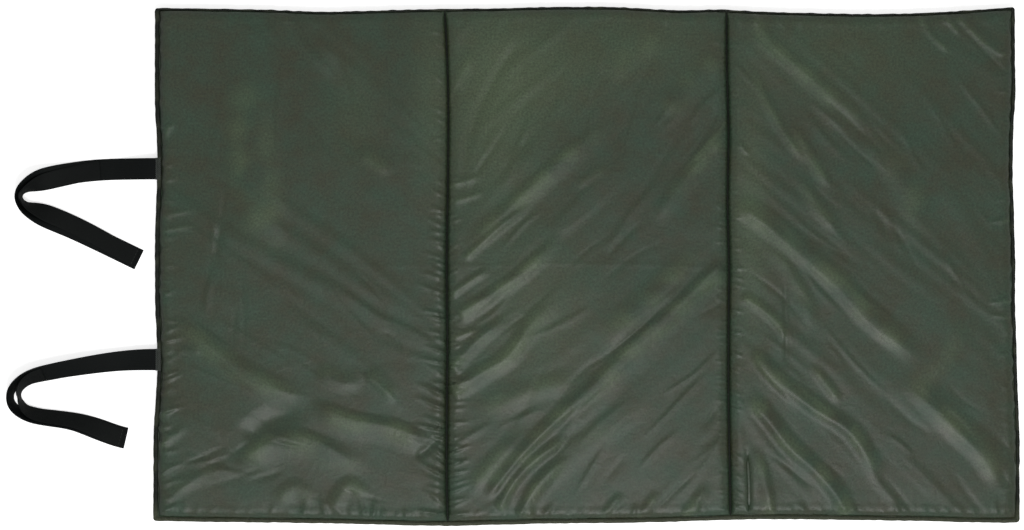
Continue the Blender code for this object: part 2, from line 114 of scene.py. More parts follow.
RIGHT_SEAM: Table = (
    (-300, 166.8), (-230, 165.5), (-161, 164.3), (-69, 164.3), (0, 164.7), (78, 163.2),
    (147, 164.2), (239, 162.2), (298, 162),
)


def curve(start: Array, end: Array, slope_start: Array, slope_end: Array, part: Array) -> Array:
    """Return a cubic from one value to another, with a given slope at each.

    Args:
        start: Value at share nought.
        end: Value at share one.
        slope_start: Slope at the start, as the change over the whole span.
        slope_end: Slope at the end.
        part: Share of the span to read.

    Returns:
        The cubic's value at that share.
    """
    squared, cubed = part ** 2, part ** 3
    return (
        start * (2 * cubed - 3 * squared + 1)
        + slope_start * (cubed - 2 * squared + part)
        + end * (3 * squared - 2 * cubed)
        + slope_end * (cubed - squared)
    )


def through(table: Table, at: Array) -> Array:
    """Read a smooth line through a table of millimetre points.

    Args:
        table: Points (where, value) in rising order, in millimetres.
        at: Places to read the line at, in metres.

    Returns:
        The line's values there, in metres.
    """
    xs, ys = np.array(table, float).T * MM
    slopes = np.gradient(ys, xs)
    low = np.clip(np.searchsorted(xs, at) - 1, 0, len(xs) - 2)
    span = xs[low + 1] - xs[low]
    part = np.clip((at - xs[low]) / span, -0.5, 1.5)
    return curve(ys[low], ys[low + 1], slopes[low] * span, slopes[low + 1] * span, part)


def line_at(table: Table, at: float) -> float:
    """Read one value of a line through a table. Both are in metres."""
    return float(through(table, np.array([at]))[0])


def lengths_along(points: Array) -> Array:
    """Return how far along its line each point lies."""
    return np.concatenate([[0], np.cumsum(np.linalg.norm(np.diff(points, axis=0), axis=1))])


def smooth_step(part: Array) -> Array:
    """Return an even S-curve from nought to one."""
    part = np.clip(part, 0, 1)
    return part * part * (3 - 2 * part)


def rolled(distance: Array, reach: float) -> Array:
    """Return how far a skin has risen, nought to one, at a distance in from where it is held."""
    part = np.clip(distance / reach, 0, 1)
    return np.sqrt(1 - (1 - part) ** 2)


def soft_noise(us: Array, vs: Array, pitch: float, seed: int, ways: Point = (0, 360)) -> Array:
    """Return smooth random waves about nought, the same for the same seed.

    Args:
        us: Places along the first direction, in metres.
        vs: Places along the second direction, in metres, shaped as us.
        pitch: Rough distance from wave to wave, in metres.
        seed: Which of the endless patterns to use.
        ways: The least and the greatest direction that the waves run in, in degrees.

    Returns:
        Heights of about -1 to 1.
    """
    draw = np.random.default_rng(seed)
    total = np.zeros_like(us)
    waves = 14
    for _ in range(waves):
        way = math.radians(draw.uniform(*ways))
        length = pitch * draw.uniform(0.7, 1.6)
        total += np.sin(
            (us * math.cos(way) + vs * math.sin(way)) * 2 * math.pi / length
            + draw.uniform(0, 2 * math.pi)
        )
    return total / math.sqrt(waves)


# Creases of the top skins

# How deep the creases lie, as a share of the depths that they are given
FULLNESS = 1.6
# How fast a crease falls away from its crest
STEEPNESS = 1.7


@dataclass(frozen=True)
class Crease:
    """One ridge or valley of the cloth, in millimetres.

    Its dark flank is on the left of the way that its points run, and its bright flank on
    the right.
    """

    points: Table
    height: float
    left: float
    right: float
    head: float = 0.25
    tail: float = 0.35
    sharp: float = 0.25

    def path(self, steps: int = 14) -> Array:
        """Return the crest as close points.

        Args:
            steps: How many points.

        Returns:
            One row for each, in metres.
        """
        points = np.array(self.points, float) * MM
        at = lengths_along(points)
        wanted = np.linspace(0, at[-1], steps)
        tables = (tuple(zip(at / MM, values / MM)) for values in points.T)
        return np.stack([through(table, wanted) for table in tables], axis=1)

    def raise_skin(self, xs: Array, ys: Array, heights: Array) -> None:
        """Add the crease to the heights of a skin.

        Args:
            xs: The skin's places along the mat, in metres.
            ys: Its places across the mat.
            heights: Its heights in metres, changed in place.
        """
        crest = self.path()
        reach = max(self.left, self.right) * MM
        near = (
            (xs > crest[:, 0].min() - reach) & (xs < crest[:, 0].max() + reach)
            & (ys > crest[:, 1].min() - reach) & (ys < crest[:, 1].max() + reach)
        )
        if not near.any():
            return
        px, py = xs[near], ys[near]
        best = np.full(px.shape, 1e9)
        side = np.zeros(px.shape)
        along = np.zeros(px.shape)
        runs = np.linalg.norm(np.diff(crest, axis=0), axis=1)
        starts = lengths_along(crest)
        for index, run in enumerate(runs):
            start = crest[index]
            way = (crest[index + 1] - start) / run
            t = np.clip((px - start[0]) * way[0] + (py - start[1]) * way[1], 0, run)
            dx, dy = px - start[0] - way[0] * t, py - start[1] - way[1] * t
            gap = np.hypot(dx, dy)
            closer = gap < best
            best = np.where(closer, gap, best)
            side = np.where(closer, way[0] * dy - way[1] * dx, side)
            along = np.where(closer, (starts[index] + t) / starts[-1], along)
        width = np.where(side > 0, self.left, self.right) * MM
        across = np.clip(best / width, 0, 1)
        peak = math.sqrt(1 + self.sharp ** 2) - self.sharp
        down = (np.sqrt(across ** 2 + self.sharp ** 2) - self.sharp) / peak
        head = smooth_step(along / self.head) if self.head else 1
        tail = smooth_step((1 - along) / self.tail) if self.tail else 1
        heights[near] += FULLNESS * self.height * MM * (1 - down) ** STEEPNESS * head * tail


LEFT_CREASES: tuple[Crease, ...] = (
    Crease(((-369, 3), (-378, 76), (-390, 157), (-397, 238)), 2.0, 40, 34, sharp=0.7),
    Crease(((-339, 292), (-327, 269), (-308, 238)), -1.6, 12, 9, head=0, tail=0.6),
    Crease(((-308, 245), (-282, 192), (-264, 151), (-227, 116)), -1.7, 26, 34, sharp=0.5),
    Crease(((-371, 294), (-365, 269)), -1.5, 8, 8, head=0, tail=0.8),
    Crease(((-297, 293), (-286, 277)), -1.6, 8, 8, head=0, tail=0.8),
    Crease(((-268, 134), (-227, 104)), 0.8, 16, 14),
    Crease(((-497, 142), (-478, 168)), 1.0, 5, 6, head=0, tail=0.6),
    Crease(((-497, 57), (-450, 65)), 0.8, 5, 6, head=0, tail=0.6),
    Crease(((-494, 40), (-450, 46)), 0.7, 5, 6, head=0, tail=0.6),
    Crease(((-483, -62), (-444, -90), (-404, -118), (-350, -146), (-318, -156)), 2.2, 16, 26),
    Crease(((-404, -206), (-363, -178), (-322, -168)), -2.2, 22, 20, sharp=0.4),
    Crease(((-324, -158), (-276, -178), (-229, -186), (-180, -206)), 2.4, 12, 26, tail=0.2),
    Crease(((-412, -240), (-369, -203), (-334, -199), (-282, -221), (-250, -242)), 2.2, 14, 34),
    Crease(((-316, -122), (-282, -137), (-258, -133)), 1.2, 18, 14),
    Crease(((-258, -122), (-220, -158)), 1.3, 16, 13),
    Crease(((-296, -284), (-276, -256), (-250, -276)), 1.3, 14, 14, head=0.1, sharp=0.5),
    Crease(((-362, -278), (-339, -258), (-312, -278)), 0.8, 14, 16, sharp=0.5),
    Crease(((-200, -224), (-174, -203)), -1.6, 9, 9, tail=0),
    Crease(((-476, -98), (-446, -102)), 0.7, 7, 6),
    Crease(((-498, -176), (-474, -157)), 1.4, 7, 9, head=0, tail=0.5),
    Crease(((-498, -210), (-462, -184)), 1.0, 8, 10, head=0, tail=0.5),
    Crease(((-489, -262), (-440, -240), (-402, -236)), 0.9, 12, 18),
)
CENTRE_CREASES: tuple[Crease, ...] = (
    Crease(((-146, 110), (-127, 178), (-101, 227), (-72, 268)), -1.3, 10, 12, tail=0.25),
    Crease(((-84, 118), (-80, 172), (-73, 227)), -1.2, 18, 20, sharp=0.6),
    Crease(((-141, 20), (-101, 58), (-55, 101), (-13, 136), (27, 169)), 2.0, 11, 22),
    Crease(((-145, 6), (-107, 40), (-64, 72)), 1.3, 6, 9, head=0.1),
    Crease(((-14, 90), (28, 116)), 0.5, 9, 9, sharp=0.6),
    Crease(((76, 50), (120, 108), (160, 154)), 1.3, 14, 18, tail=0.15, sharp=0.4),
    Crease(((118, 118), (160, 164)), 1.0, 5, 7, tail=0),
    Crease(((20, 214), (90, 276)), 0.8, 24, 22, sharp=0.7),
    Crease(((84, 170), (152, 246)), 0.9, 22, 22, tail=0.2, sharp=0.7),
    Crease(((-157, -33), (-112, -1)), 1.4, 6, 9, head=0),
    Crease(((-152, -58), (-107, -30), (-64, 2), (-28, 38)), 2.2, 9, 17, head=0.05),
    Crease(((-160, -86), (-124, -73)), 1.0, 5, 7, head=0),
    Crease(((-160, -121), (-127, -86), (-88, -60)), 1.8, 9, 14, head=0.04),
    Crease(((-160, -149), (-126, -126), (-91, -104), (-67, -70), (-30, -34)), 2.3, 12, 18,
           head=0.04),
    Crease(((-130, -176), (-80, -150), (0, -132)), 1.0, 20, 18, sharp=0.5),
    Crease(((-32, -182), (15, -131), (61, -85), (108, -43), (160, 5)), 3.0, 11, 24,
           head=0.3, tail=0.06, sharp=0.16),
    Crease(((10, -102), (52, -62), (96, -20), (140, 26)), 1.4, 26, 16, sharp=0.6),
    Crease(((-120, -273), (-101, -248), (-55, -197), (-20, -163), (20, -128)), 2.6, 13, 12,
           head=0.12, tail=0.3, sharp=0.16),
    Crease(((-104, -285), (-82, -245), (-49, -217), (-12, -196)), 2.0, 10, 12, head=0.06),
    Crease(((-80, -290), (-60, -256), (-18, -218)), 2.2, 8, 20, head=0.03),
    Crease(((-138, -266), (-101, -221), (-64, -188)), 1.3, 16, 18, sharp=0.5),
    Crease(((-40, -240), (10, -200), (86, -150)), 0.7, 20, 18, sharp=0.6),
    Crease(((17, -293), (40, -262)), 1.2, 8, 10, head=0),
    Crease(((112, -293), (142, -254)), 1.3, 10, 14, head=0.05),
    Crease(((60, -292), (82, -262)), 0.9, 8, 10, head=0),
    Crease(((-160, 92), (-120, 105)), 0.8, 6, 8, head=0),
    Crease(((-158, 73), (-118, 86)), 0.8, 6, 8, head=0),
    Crease(((-155, 200), (-132, 250)), 0.9, 12, 12),
)
RIGHT_CREASES: tuple[Crease, ...] = (
    Crease(((340, 148), (280, 199), (247, 228), (208, 262), (190, 293)), 2.0, 20, 12,
           head=0.4, tail=0.06, sharp=0.2),
    Crease(((256, 114), (230, 150), (210, 184), (190, 230)), 1.6, 9, 9),
    Crease(((284, 88), (261, 121), (236, 166)), 1.3, 12, 9),
    Crease(((189, 127), (172, 144)), 0.9, 5, 6),
    Crease(((294, 36), (266, 70), (243, 108)), 1.3, 13, 11),
    Crease(((388, -115), (359, -89), (320, -58), (289, -21), (257, 7), (224, 31), (199, 52),
            (169, 72)), 2.6, 16, 20, head=0.25, tail=0.08, sharp=0.2),
    Crease(((486, -266), (461, -224), (427, -190), (389, -150), (357, -115)), 1.8, 18, 26,
           head=0.2, sharp=0.5),
    Crease(((236, -96), (222, -69), (206, -54), (178, -35)), 1.4, 9, 10, tail=0.1),
    Crease(((340, -252), (327, -226), (301, -189), (273, -172), (242, -150), (213, -126),
            (190, -98)), 2.9, 13, 16, tail=0.12, sharp=0.18),
    Crease(((302, -293), (292, -272), (264, -237), (231, -207), (210, -179), (183, -152)),
           2.7, 13, 17, head=0.03, tail=0.15, sharp=0.2),
    Crease(((294, -160), (259, -113)), 1.4, 9, 10),
    Crease(((188, -292), (187, -250), (185, -206)), -2.4, 4, 4, head=0, tail=0.3, sharp=0.1),
    Crease(((214, -293), (206, -250), (196, -208)), 1.4, 16, 9, head=0),
    Crease(((422, 243), (399, 266), (383, 293)), 1.1, 7, 6, tail=0),
    Crease(((431, 265), (411, 293)), 0.9, 5, 5, tail=0),
    Crease(((489, 240), (459, 258), (429, 289)), 0.9, 7, 6, tail=0.05),
    Crease(((491, 51), (464, 50)), 0.9, 4, 5, head=0),
    Crease(((493, -42), (464, -44)), 0.9, 4, 5, head=0),
    Crease(((493, -62), (468, -58)), 0.9, 4, 5, head=0),
    Crease(((232, -124), (231, -66), (229, -8)), -0.9, 5, 5),
    Crease(((263, -78), (247, -28), (227, 4), (199, 30)), 1.1, 16, 14),
    Crease(((392, 26), (364, 99), (322, 158)), 0.9, 22, 26, sharp=0.6),
    Crease(((440, -60), (420, -100), (384, -150)), 0.7, 20, 24, sharp=0.6),
)
# A faint line along the whole mat, from how it was stored
STORAGE_CREASE = Crease(((-300, -1), (-200, -1), (0, 1), (158, -2), (240, -3)), 0.1, 5, 6,
                        head=0.2, tail=0.2, sharp=0.2)


@dataclass(frozen=True)
class Held:
    """A line that a skin is held along, in millimetres.

    The offset is from the table's line to where the gathers start, and inward is the plan
    direction into the panel.
    """

    table: Table
    offset: float
    inward: Point

    def place(self, at: float) -> Point:
        """Return the plan point in millimetres at a distance along the line."""
        value = line_at(self.table, at * MM) / MM + self.offset
        return (value, at) if self.inward[0] else (at, value)


@dataclass(frozen=True)
class Puckers:
    """A run of small gathers that the thread draws into a skin along one held edge.

    Sizes are in millimetres. Each gather starts at the edge and points into the panel,
    turned by slant degrees. The pairs say how far a gather's turn in degrees, and its sizes
    as shares, differ from the run's.
    """

    start: float
    end: float
    pitch: float
    length: float
    width: float
    height: float
    slant: float
    turns: Point = (-16, 16)
    reaches: Point = (0.7, 1.9)
    widths: Point = (0.75, 1.25)
    rises: Point = (0.4, 1.2)
    gaps: Point = (0.6, 1.4)

    def creases(self, draw: np.random.Generator, held: Held) -> list[Crease]:
        """Return the run's gathers.

        Args:
            draw: Where their uneven sizes come from.
            held: The edge that they start at.

        Returns:
            One crease for each gather.
        """
        made = []
        at = self.start
        while at < self.end:
            x, y = held.place(at)
            turn = math.radians(self.slant + draw.uniform(*self.turns))
            reach = self.length * draw.uniform(*self.reaches)
            wx = held.inward[0] * math.cos(turn) - held.inward[1] * math.sin(turn)
            wy = held.inward[0] * math.sin(turn) + held.inward[1] * math.cos(turn)
            width = self.width * draw.uniform(*self.widths)
            rise = self.height * draw.uniform(*self.rises)
            tip = (x + wx * reach, y + wy * reach)
            made.append(Crease(((x, y), tip), rise, width, width, head=0, tail=1, sharp=0.3))
            at += self.pitch * draw.uniform(*self.gaps)
        return made


def fine_gathers(height: float, slant: float) -> Puckers:
    """Return the fine gathers that a fold's thread draws in from end to end."""
    return Puckers(-292, 292, 4.6, 4.5, 1.9, height, slant)


@dataclass(frozen=True)
class Drape:
    """A field of loose folds that all run about one way and fade out round its centre.

    Lengths are in millimetres, and the angle is in degrees from +X. The pairs are the least
    and the greatest turn, place, half length, bow, height and width of a thin fold.
    """

    centre: Point
    reach: Point
    angle: float
    pitch: float
    height: float
    thin: int = 9
    turns: Point = (-11, 11)
    spots: Point = (-0.75, 0.75)
    halves: Point = (20, 70)
    bows: Point = (-6, 6)
    rises: Point = (0.22, 0.6)
    widths: Point = (3.2, 6.5)

    def thin_folds(self, seed: int) -> list[Crease]:
        """Return the short sharp folds that lie among the soft ones.

        Args:
            seed: Which of the endless patterns to use.

        Returns:
            One crease for each fold.
        """
        draw = np.random.default_rng(seed)
        made = []
        for _ in range(self.thin):
            turn = math.radians(self.angle + draw.uniform(*self.turns))
            way = np.array([math.cos(turn), math.sin(turn)])
            side = np.array([-way[1], way[0]])
            along, across = draw.uniform(*self.spots, 2)
            middle = self.centre + way * along * self.reach[0] + side * across * self.reach[1]
            half, bow = draw.uniform(*self.halves), draw.uniform(*self.bows)
            points = (tuple(middle - way * half), tuple(middle + side * bow),
                      tuple(middle + way * half))
            rise = draw.choice([-1, 1]) * draw.uniform(*self.rises)
            width = draw.uniform(*self.widths)
            made.append(Crease(points, rise, width, 1.7 * width, 0.4, 0.4, 0.15))
        return made

    def raise_skin(self, xs: Array, ys: Array, heights: Array, seed: int) -> None:
        """Add the folds to the heights of a skin.

        Args:
            xs: The skin's places along the mat, in metres.
            ys: Its places across the mat.
            heights: Its heights in metres, changed in place.
            seed: Which of the endless patterns to use.
        """
        turn = math.radians(self.angle)
        dx, dy = xs - self.centre[0] * MM, ys - self.centre[1] * MM
        along = (dx * math.cos(turn) + dy * math.sin(turn)) / (self.reach[0] * MM)
        across = (dy * math.cos(turn) - dx * math.sin(turn)) / (self.reach[1] * MM)
        fade = np.exp(-(along ** 2 + across ** 2) * 1.6)
        cross = self.angle + 90
        waves = soft_noise(xs, ys, 2.4 * self.pitch * MM, seed, (cross - 20, cross + 20))
        crests = np.clip(waves, 0, 1.6) ** 2 - 0.3
        heights += 0.4 * self.height * MM * crests * fade
        for fold in self.thin_folds(seed):
            fold.raise_skin(xs, ys, heights)


DRAPES: dict[str, tuple[Drape, ...]] = {
    "left": (
        Drape((-290, 220), (150, 80), -62, 26, 1.0),
        Drape((-400, 60), (200, 60), 84, 38, 0.8),
        Drape((-420, -130), (130, 90), -30, 26, 1.2),
        Drape((-250, -110), (150, 80), -38, 24, 1.1),
        Drape((-320, -220), (180, 70), -18, 30, 1.4),
        Drape((-440, -250), (110, 50), 24, 26, 0.9),
    ),
    "centre": (
        Drape((-100, 190), (130, 80), 66, 28, 1.0),
        Drape((-80, 10), (170, 110), 42, 26, 1.5),
        Drape((-70, -110), (150, 80), 34, 24, 1.5),
        Drape((-50, -220), (130, 80), 52, 20, 1.6),
        Drape((90, -90), (160, 60), 45, 26, 1.2),
        Drape((90, -230), (110, 60), 50, 30, 1.0),
        Drape((110, 140), (110, 80), 50, 28, 1.2),
        Drape((20, 220), (90, 60), 70, 30, 0.8),
    ),
    "right": (
        Drape((240, 200), (140, 80), -52, 24, 1.5),
        Drape((270, 50), (160, 90), -42, 26, 1.4),
        Drape((250, -100), (130, 70), -48, 24, 1.6),
        Drape((260, -210), (150, 90), -48, 24, 1.8),
        Drape((430, -190), (150, 70), -50, 28, 1.4),
        Drape((440, 250), (110, 50), -46, 20, 1.2),
        Drape((400, 60), (180, 80), -60, 34, 1.1),
    ),
}


@dataclass(frozen=True)
class TonePatch:
    """A broad patch where the cloth is painted lighter or darker. Lengths are in millimetres.

    The most is above nought for a lighter patch and below it for a darker one. Some are
    painted light and shade: a lit strip on the left panel beside its fold, and painted shade
    at the front of the right panel. The rest is tone that differs over the cloth.
    """

    centre: Point
    reach: Point
    most: float

    def strength(self, xs: Array, ys: Array) -> Array:
        """Return how much lighter or darker the cloth is painted at each point.

        Args:
            xs: Places along the mat, in metres.
            ys: Places across it.

        Returns:
            Above nought where it is painted lighter, and below it where it is painted darker.
        """
        dx = (xs / MM - self.centre[0]) / self.reach[0]
        dy = (ys / MM - self.centre[1]) / self.reach[1]
        return self.most * np.exp(-(dx ** 2 + dy ** 2))


# Lighter and darker patches of each panel. The strip on the left panel beside its fold is painted
# light on the roll that faces the lamp, and the darker patch at the front of the right panel is
# painted shade.
TONE_PATCHES: dict[str, tuple[TonePatch, ...]] = {
    "left": (TonePatch((-180, 200), (24, 110), 0.35), TonePatch((-270, 180), (30, 60), 0.2),
             TonePatch((-330, -200), (130, 60), -0.07)),
    "centre": (TonePatch((-110, 190), (55, 120), 0.55), TonePatch((-60, -60), (70, 90), 0.25),
               TonePatch((60, 260), (90, 50), 0.3), TonePatch((-50, 225), (70, 60), 0.36),
               TonePatch((84, 30), (45, 130), -0.08)),
    "right": (TonePatch((190, 60), (20, 130), 0.4), TonePatch((290, 250), (110, 60), 0.25),
              TonePatch((340, -220), (140, 60), -0.14)),
}


# The padded panels


@dataclass(frozen=True)
class Shape:
    """How every panel is padded and held, in metres.

    The steps are the distances between grid columns and between grid rows.
    """

    seam_height: float = 11 * MM
    top: float = 22 * MM
    under_slack: float = 0.5 * MM
    most_slack: float = 1.4 * MM
    crown: float = 2.4 * MM
    swell: float = 0.5 * MM
    slack: float = 0.16 * MM
    ease: float = 1.0 * MM
    roll: float = 13 * MM
    groove: float = 0.8 * MM
    tuck: float = 2.5 * MM
    half_seam: float = 0.4 * MM
    wall: float = 2.6 * MM
    lower_wall: float = 1.2 * MM
    fine_steps: Point = (2.2 * MM, 1.65 * MM)
    coarse_steps: Point = (3.2 * MM, 3.2 * MM)
    inner_steps: Point = (16 * MM, 16 * MM)
    ground: float = 0.35 * MM
    wander: float = 0.8 * MM
    pressed_from: float = 23.4 * MM
    pressed_room: float = 2.0 * MM


@dataclass(frozen=True)
class BandWidths:
    """How much of the edge band shows beside the pads, in metres."""

    left: float = 5.6 * MM
    right: float = 4.6 * MM
    rear: float = 2.8 * MM
    front: float = 5.6 * MM


WIDTHS = BandWidths()


def grid_lines(span: float, step: float, low: float = 0, high: float = 1) -> Array:
    """Return grid lines over part of a span, closer together near both ends of the span.

    Args:
        span: Length of the whole span, in metres.
        step: The usual distance from line to line. Lines over 5 mm apart are all even.
        low: Share of the span where the lines start.
        high: Share where they end.

    Returns:
        Rising shares of the span.
    """
    if step > 5 * MM:
        return np.linspace(low, high, int(round((high - low) * span / step)) + 1)
    tight = 9 * MM
    edge = np.array([0, 0.25, 0.7, 1.4, 2.4, 3.6, 5.0, 6.5, 8.2]) * MM
    count = max(int(round((span - 2 * tight) / step)), 2)
    inner = np.linspace(tight, span - tight, count + 1)
    full = np.concatenate([edge, inner, (span - edge)[::-1]]) / span
    kept = full[(full > low + 1e-6) & (full < high - 1e-6)]
    return np.concatenate([[low], kept, [high]])


@dataclass
class Pad:
    """The form of one padded panel: what holds its two ends, and how its skins lie."""

    name: str
    low: Grip
    high: Grip
    creases: tuple[Crease, ...]
    shape: Shape
    seed: int
    moved: Array | None = None

    def end_line(self, which: Grip, high: bool, ys: Array) -> Array:
        """Return the line where one end of the pad's showing skin is held.

        Args:
            which: What holds it.
            high: Whether it is the end at the greater x.
            ys: Places across the mat, in metres.

        Returns:
            The x of the line at each of them.
        """
        if which is Grip.BAND:
            table = RIGHT_EDGE if high else LEFT_EDGE
            width = WIDTHS.right if high else WIDTHS.left
            wander = self.shape.wander * soft_noise(ys, ys * 0, 15 * MM, self.seed + 30)
            return through(table, ys) + (-width if high else width) + wander
        at_left = self.name == "left" or (self.name == "centre" and not high)
        table = LEFT_SEAM if at_left else RIGHT_SEAM
        return through(table, ys) + (-self.shape.groove if high else self.shape.groove)

    def plan(self, us: Array, vs: Array) -> Pair:
        """Lay a grid of shares over the panel, out to the lines where its cloth is held.

        Args:
            us: Shares along the mat, one for each column.
            vs: Shares across it, one for each row.

        Returns:
            The x and y of every grid point, in metres.
        """
        tuck = self.shape.tuck
        rows = np.linspace(-0.3, 0.3, 241)
        low = float(self.end_line(self.low, False, rows).mean())
        high = float(self.end_line(self.high, True, rows).mean())
        columns = low + (high - low) * us
        front = through(FRONT_EDGE, columns) + WIDTHS.front - tuck
        rear = through(REAR_EDGE, columns) - WIDTHS.rear + tuck
        ys = front[None, :] + (rear - front)[None, :] * vs[:, None]
        starts = self.end_line(self.low, False, ys)
        ends = self.end_line(self.high, True, ys)
        if self.low is Grip.BAND:
            starts = starts - tuck
        if self.high is Grip.BAND:
            ends = ends + tuck
        xs = starts + (ends - starts) * us[None, :]
        return xs, ys

    def distances(self, xs: Array, ys: Array) -> tuple[Array, ...]:
        """Return how far in each point is from the panel's four held edges.

        Args:
            xs: Places along the mat, in metres.
            ys: Places across it.

        Returns:
            Distances in metres from the low end, the high end, the front and the rear.
        """
        return (
            xs - self.end_line(self.low, False, ys),
            self.end_line(self.high, True, ys) - xs,
            ys - through(FRONT_EDGE, xs) - WIDTHS.front,
            through(REAR_EDGE, xs) - WIDTHS.rear - ys,
        )

    def rise(self, xs: Array, ys: Array) -> Array:
        """Return how far the pad has risen from the height of the seams.

        Args:
            xs: Places along the mat, in metres.
            ys: Places across it.

        Returns:
            Nought at a held edge, and one where the pad is full.
        """
        risen = np.ones_like(xs)
        for distance in self.distances(xs, ys):
            risen = risen * rolled(distance, self.shape.roll)
        return risen

    def bell(self, xs: Array, ys: Array) -> Array:
        """Return the even swell of the foam.

        Args:
            xs: Places along the mat, in metres.
            ys: Places across it.

        Returns:
            Nought at the held edges, to one at the panel's middle.
        """
        low, high, front, rear = self.distances(xs, ys)
        along = 4 * low * high / (low + high) ** 2
        across = 4 * front * rear / (front + rear) ** 2
        return np.clip(along, 0, 1) * np.clip(across, 0, 1)

    def gathers(self) -> list[Crease]:
        """Return the small puckers along the panel's held edges."""
        draw = np.random.default_rng(self.seed)
        made: list[Crease] = []
        for edge, runs in PUCKERS[self.name].items():
            for run in runs:
                made += run.creases(draw, HELD[edge])
        return made

    def top_heights(self, xs: Array, ys: Array, gathered: bool = True,
                    creased: bool = True) -> Array:
        """Return the height of the top skin at each point.

        Args:
            xs: The skin's places along the mat, in metres.
            ys: Its places across the mat.
            gathered: Whether it has the small puckers along its held edges.
            creased: Whether it has its creases and loose folds.

        Returns:
            Heights in metres.
        """
        shape = self.shape
        rise, bell = self.rise(xs, ys), self.bell(xs, ys)
        folds, drawn = np.zeros_like(xs), np.zeros_like(xs)
        if creased:
            for crease in (*self.creases, STORAGE_CREASE):
                crease.raise_skin(xs, ys, folds)
            for index, drape in enumerate(DRAPES[self.name]):
                drape.raise_skin(xs, ys, folds, self.seed * 7 + index)
        if gathered:
            for crease in self.gathers():
                crease.raise_skin(xs, ys, drawn)
            nearest = np.minimum.reduce(self.distances(xs, ys))
            drawn *= np.sqrt(smooth_step(nearest / (3.5 * MM)))
        flat = shape.top - shape.crown - shape.seam_height
        swell = shape.swell * soft_noise(xs, ys, 150 * MM, self.seed)
        slack = shape.slack * soft_noise(xs, ys, 34 * MM, self.seed + 1)
        risen = flat + shape.crown * bell - shape.ease + swell + slack + folds
        held = shape.seam_height + shape.half_seam
        return self.pressed(held + risen * rise + drawn * (0.4 + 0.6 * rise))

    def pressed(self, heights: Array) -> Array:
        """Ease down the highest crests, so that two covers folded together stay clear.

        Args:
            heights: Heights of a top skin, in metres.

        Returns:
            The eased heights.
        """
        over = np.maximum(heights - self.shape.pressed_from, 0)
        eased_over = self.shape.pressed_room * np.tanh(over / self.shape.pressed_room)
        return heights - over + eased_over

    def settled(self) -> Array | None:
        """Let the top cover settle over its foam as cloth, pinned all round its rim.
        """
        if self.moved is None:
            self.moved = Settling(SKEWS[self.name]).run(self)
        return self.moved

    def bottom_heights(self, xs: Array, ys: Array) -> Array:
        """Return the height of the underside at each point: flat but for its rolls.

        Args:
            xs: Places along the mat, in metres.
            ys: Places across it.

        Returns:
            Heights in metres.
        """
        shape = self.shape
        held = shape.seam_height - shape.half_seam
        slack = shape.under_slack * (soft_noise(xs, ys, 70 * MM, self.seed + 5) + 1)
        dent = np.zeros_like(xs)
        if self.name == "centre":
            for patch in LoopPatch.all():
                dent = np.maximum(dent, patch.dent(xs, ys))
        drop = held - shape.ground - np.clip(slack, 0, shape.most_slack)
        return held - drop * self.rise(xs, ys) + dent


HELD = {
    "left": Held(LEFT_EDGE, 5, (1, 0)),
    "right": Held(RIGHT_EDGE, -4, (-1, 0)),
    "rear": Held(REAR_EDGE, -2.5, (0, -1)),
    "front": Held(FRONT_EDGE, 5.5, (0, 1)),
    "left_seam_left": Held(LEFT_SEAM, 0, (-1, 0)),
    "left_seam_right": Held(LEFT_SEAM, 0, (1, 0)),
    "right_seam_left": Held(RIGHT_SEAM, 0, (-1, 0)),
    "right_seam_right": Held(RIGHT_SEAM, 0, (1, 0)),
}
# start, end, pitch, length, width, height, slant
PUCKERS: dict[str, dict[str, tuple[Puckers, ...]]] = {
    "left": {
        "left": (Puckers(-290, -60, 13, 22, 4.5, 1.4, 14), Puckers(-60, 170, 18, 17, 4.5, 1, 8),
                 Puckers(170, 285, 24, 12, 4, 0.75, 0)),
        "rear": (Puckers(-480, -200, 30, 14, 5, 1, 0),),
        "front": (Puckers(-490, -330, 22, 13, 6, 1, 0), Puckers(-330, -175, 13, 18, 6, 1.7, 0)),
        "left_seam_left": (Puckers(-290, 60, 8.5, 24, 4.2, 2.4, -26),
                           Puckers(60, 290, 16, 15, 4, 1, -22), fine_gathers(0.8, -10)),
    },
    "centre": {
        "left_seam_right": (Puckers(-290, -60, 7, 19, 3.0, 1.8, 10),
                            Puckers(-60, 110, 10, 15, 3.4, 1.2, 18),
                            Puckers(110, 290, 24, 10, 4, 0.6, 10), fine_gathers(0.8, 8)),
        "right_seam_left": (Puckers(-290, 260, 7.5, 11, 2.8, 1.1, -12), fine_gathers(0.7, -8)),
        "rear": (Puckers(-150, 70, 34, 12, 6, 0.75, 0), Puckers(70, 155, 15, 12, 6, 1.4, 0)),
        "front": (Puckers(-155, 160, 15, 14, 6, 1.5, -24),),
    },
    "right": {
        "right_seam_right": (Puckers(-290, 60, 7, 12, 3.0, 1.4, -16),
                             Puckers(60, 285, 9, 9, 3.0, 1, -16), fine_gathers(0.7, 8)),
        "rear": (Puckers(172, 485, 20, 15, 5, 1.4, 14),),
        "front": (Puckers(172, 490, 14, 15, 6, 1.5, 20),),
        "right": (Puckers(-285, 285, 20, 15, 4, 0.9, 0),),
    },
}


# Making closed forms

# Angle in degrees past which an edge stays sharp
SHARP_ANGLE = 50


@dataclass
class Skin:
    """One face of a closed form: a grid of points, and where each lies on the flat cloth."""

    points: Array
    cloth: Array
    # How much lighter or darker the cloth is painted: painted highlight, painted shade and lighter
    # and darker patches
    crest: Array | None = None

    @classmethod
    def over(cls, xs: Array, ys: Array, heights: Array) -> "Skin":
        """Return a skin whose cloth lies in plan as it lies on the mat."""
        return cls(np.stack([xs, ys, heights], axis=-1), np.stack([xs, ys], axis=-1))


def placed(name: str, data: bpy.types.ID, place: Place = (0, 0, 0)) -> bpy.types.Object:
    """Put an object into the scene.

    Args:
        name: Its name.
        data: Its mesh, lamp or camera.
        place: Where it stands, in metres.

    Returns:
        The new object.
    """
    item = bpy.data.objects.new(name, data)
    item.location = place
    bpy.context.collection.objects.link(item)
    return item


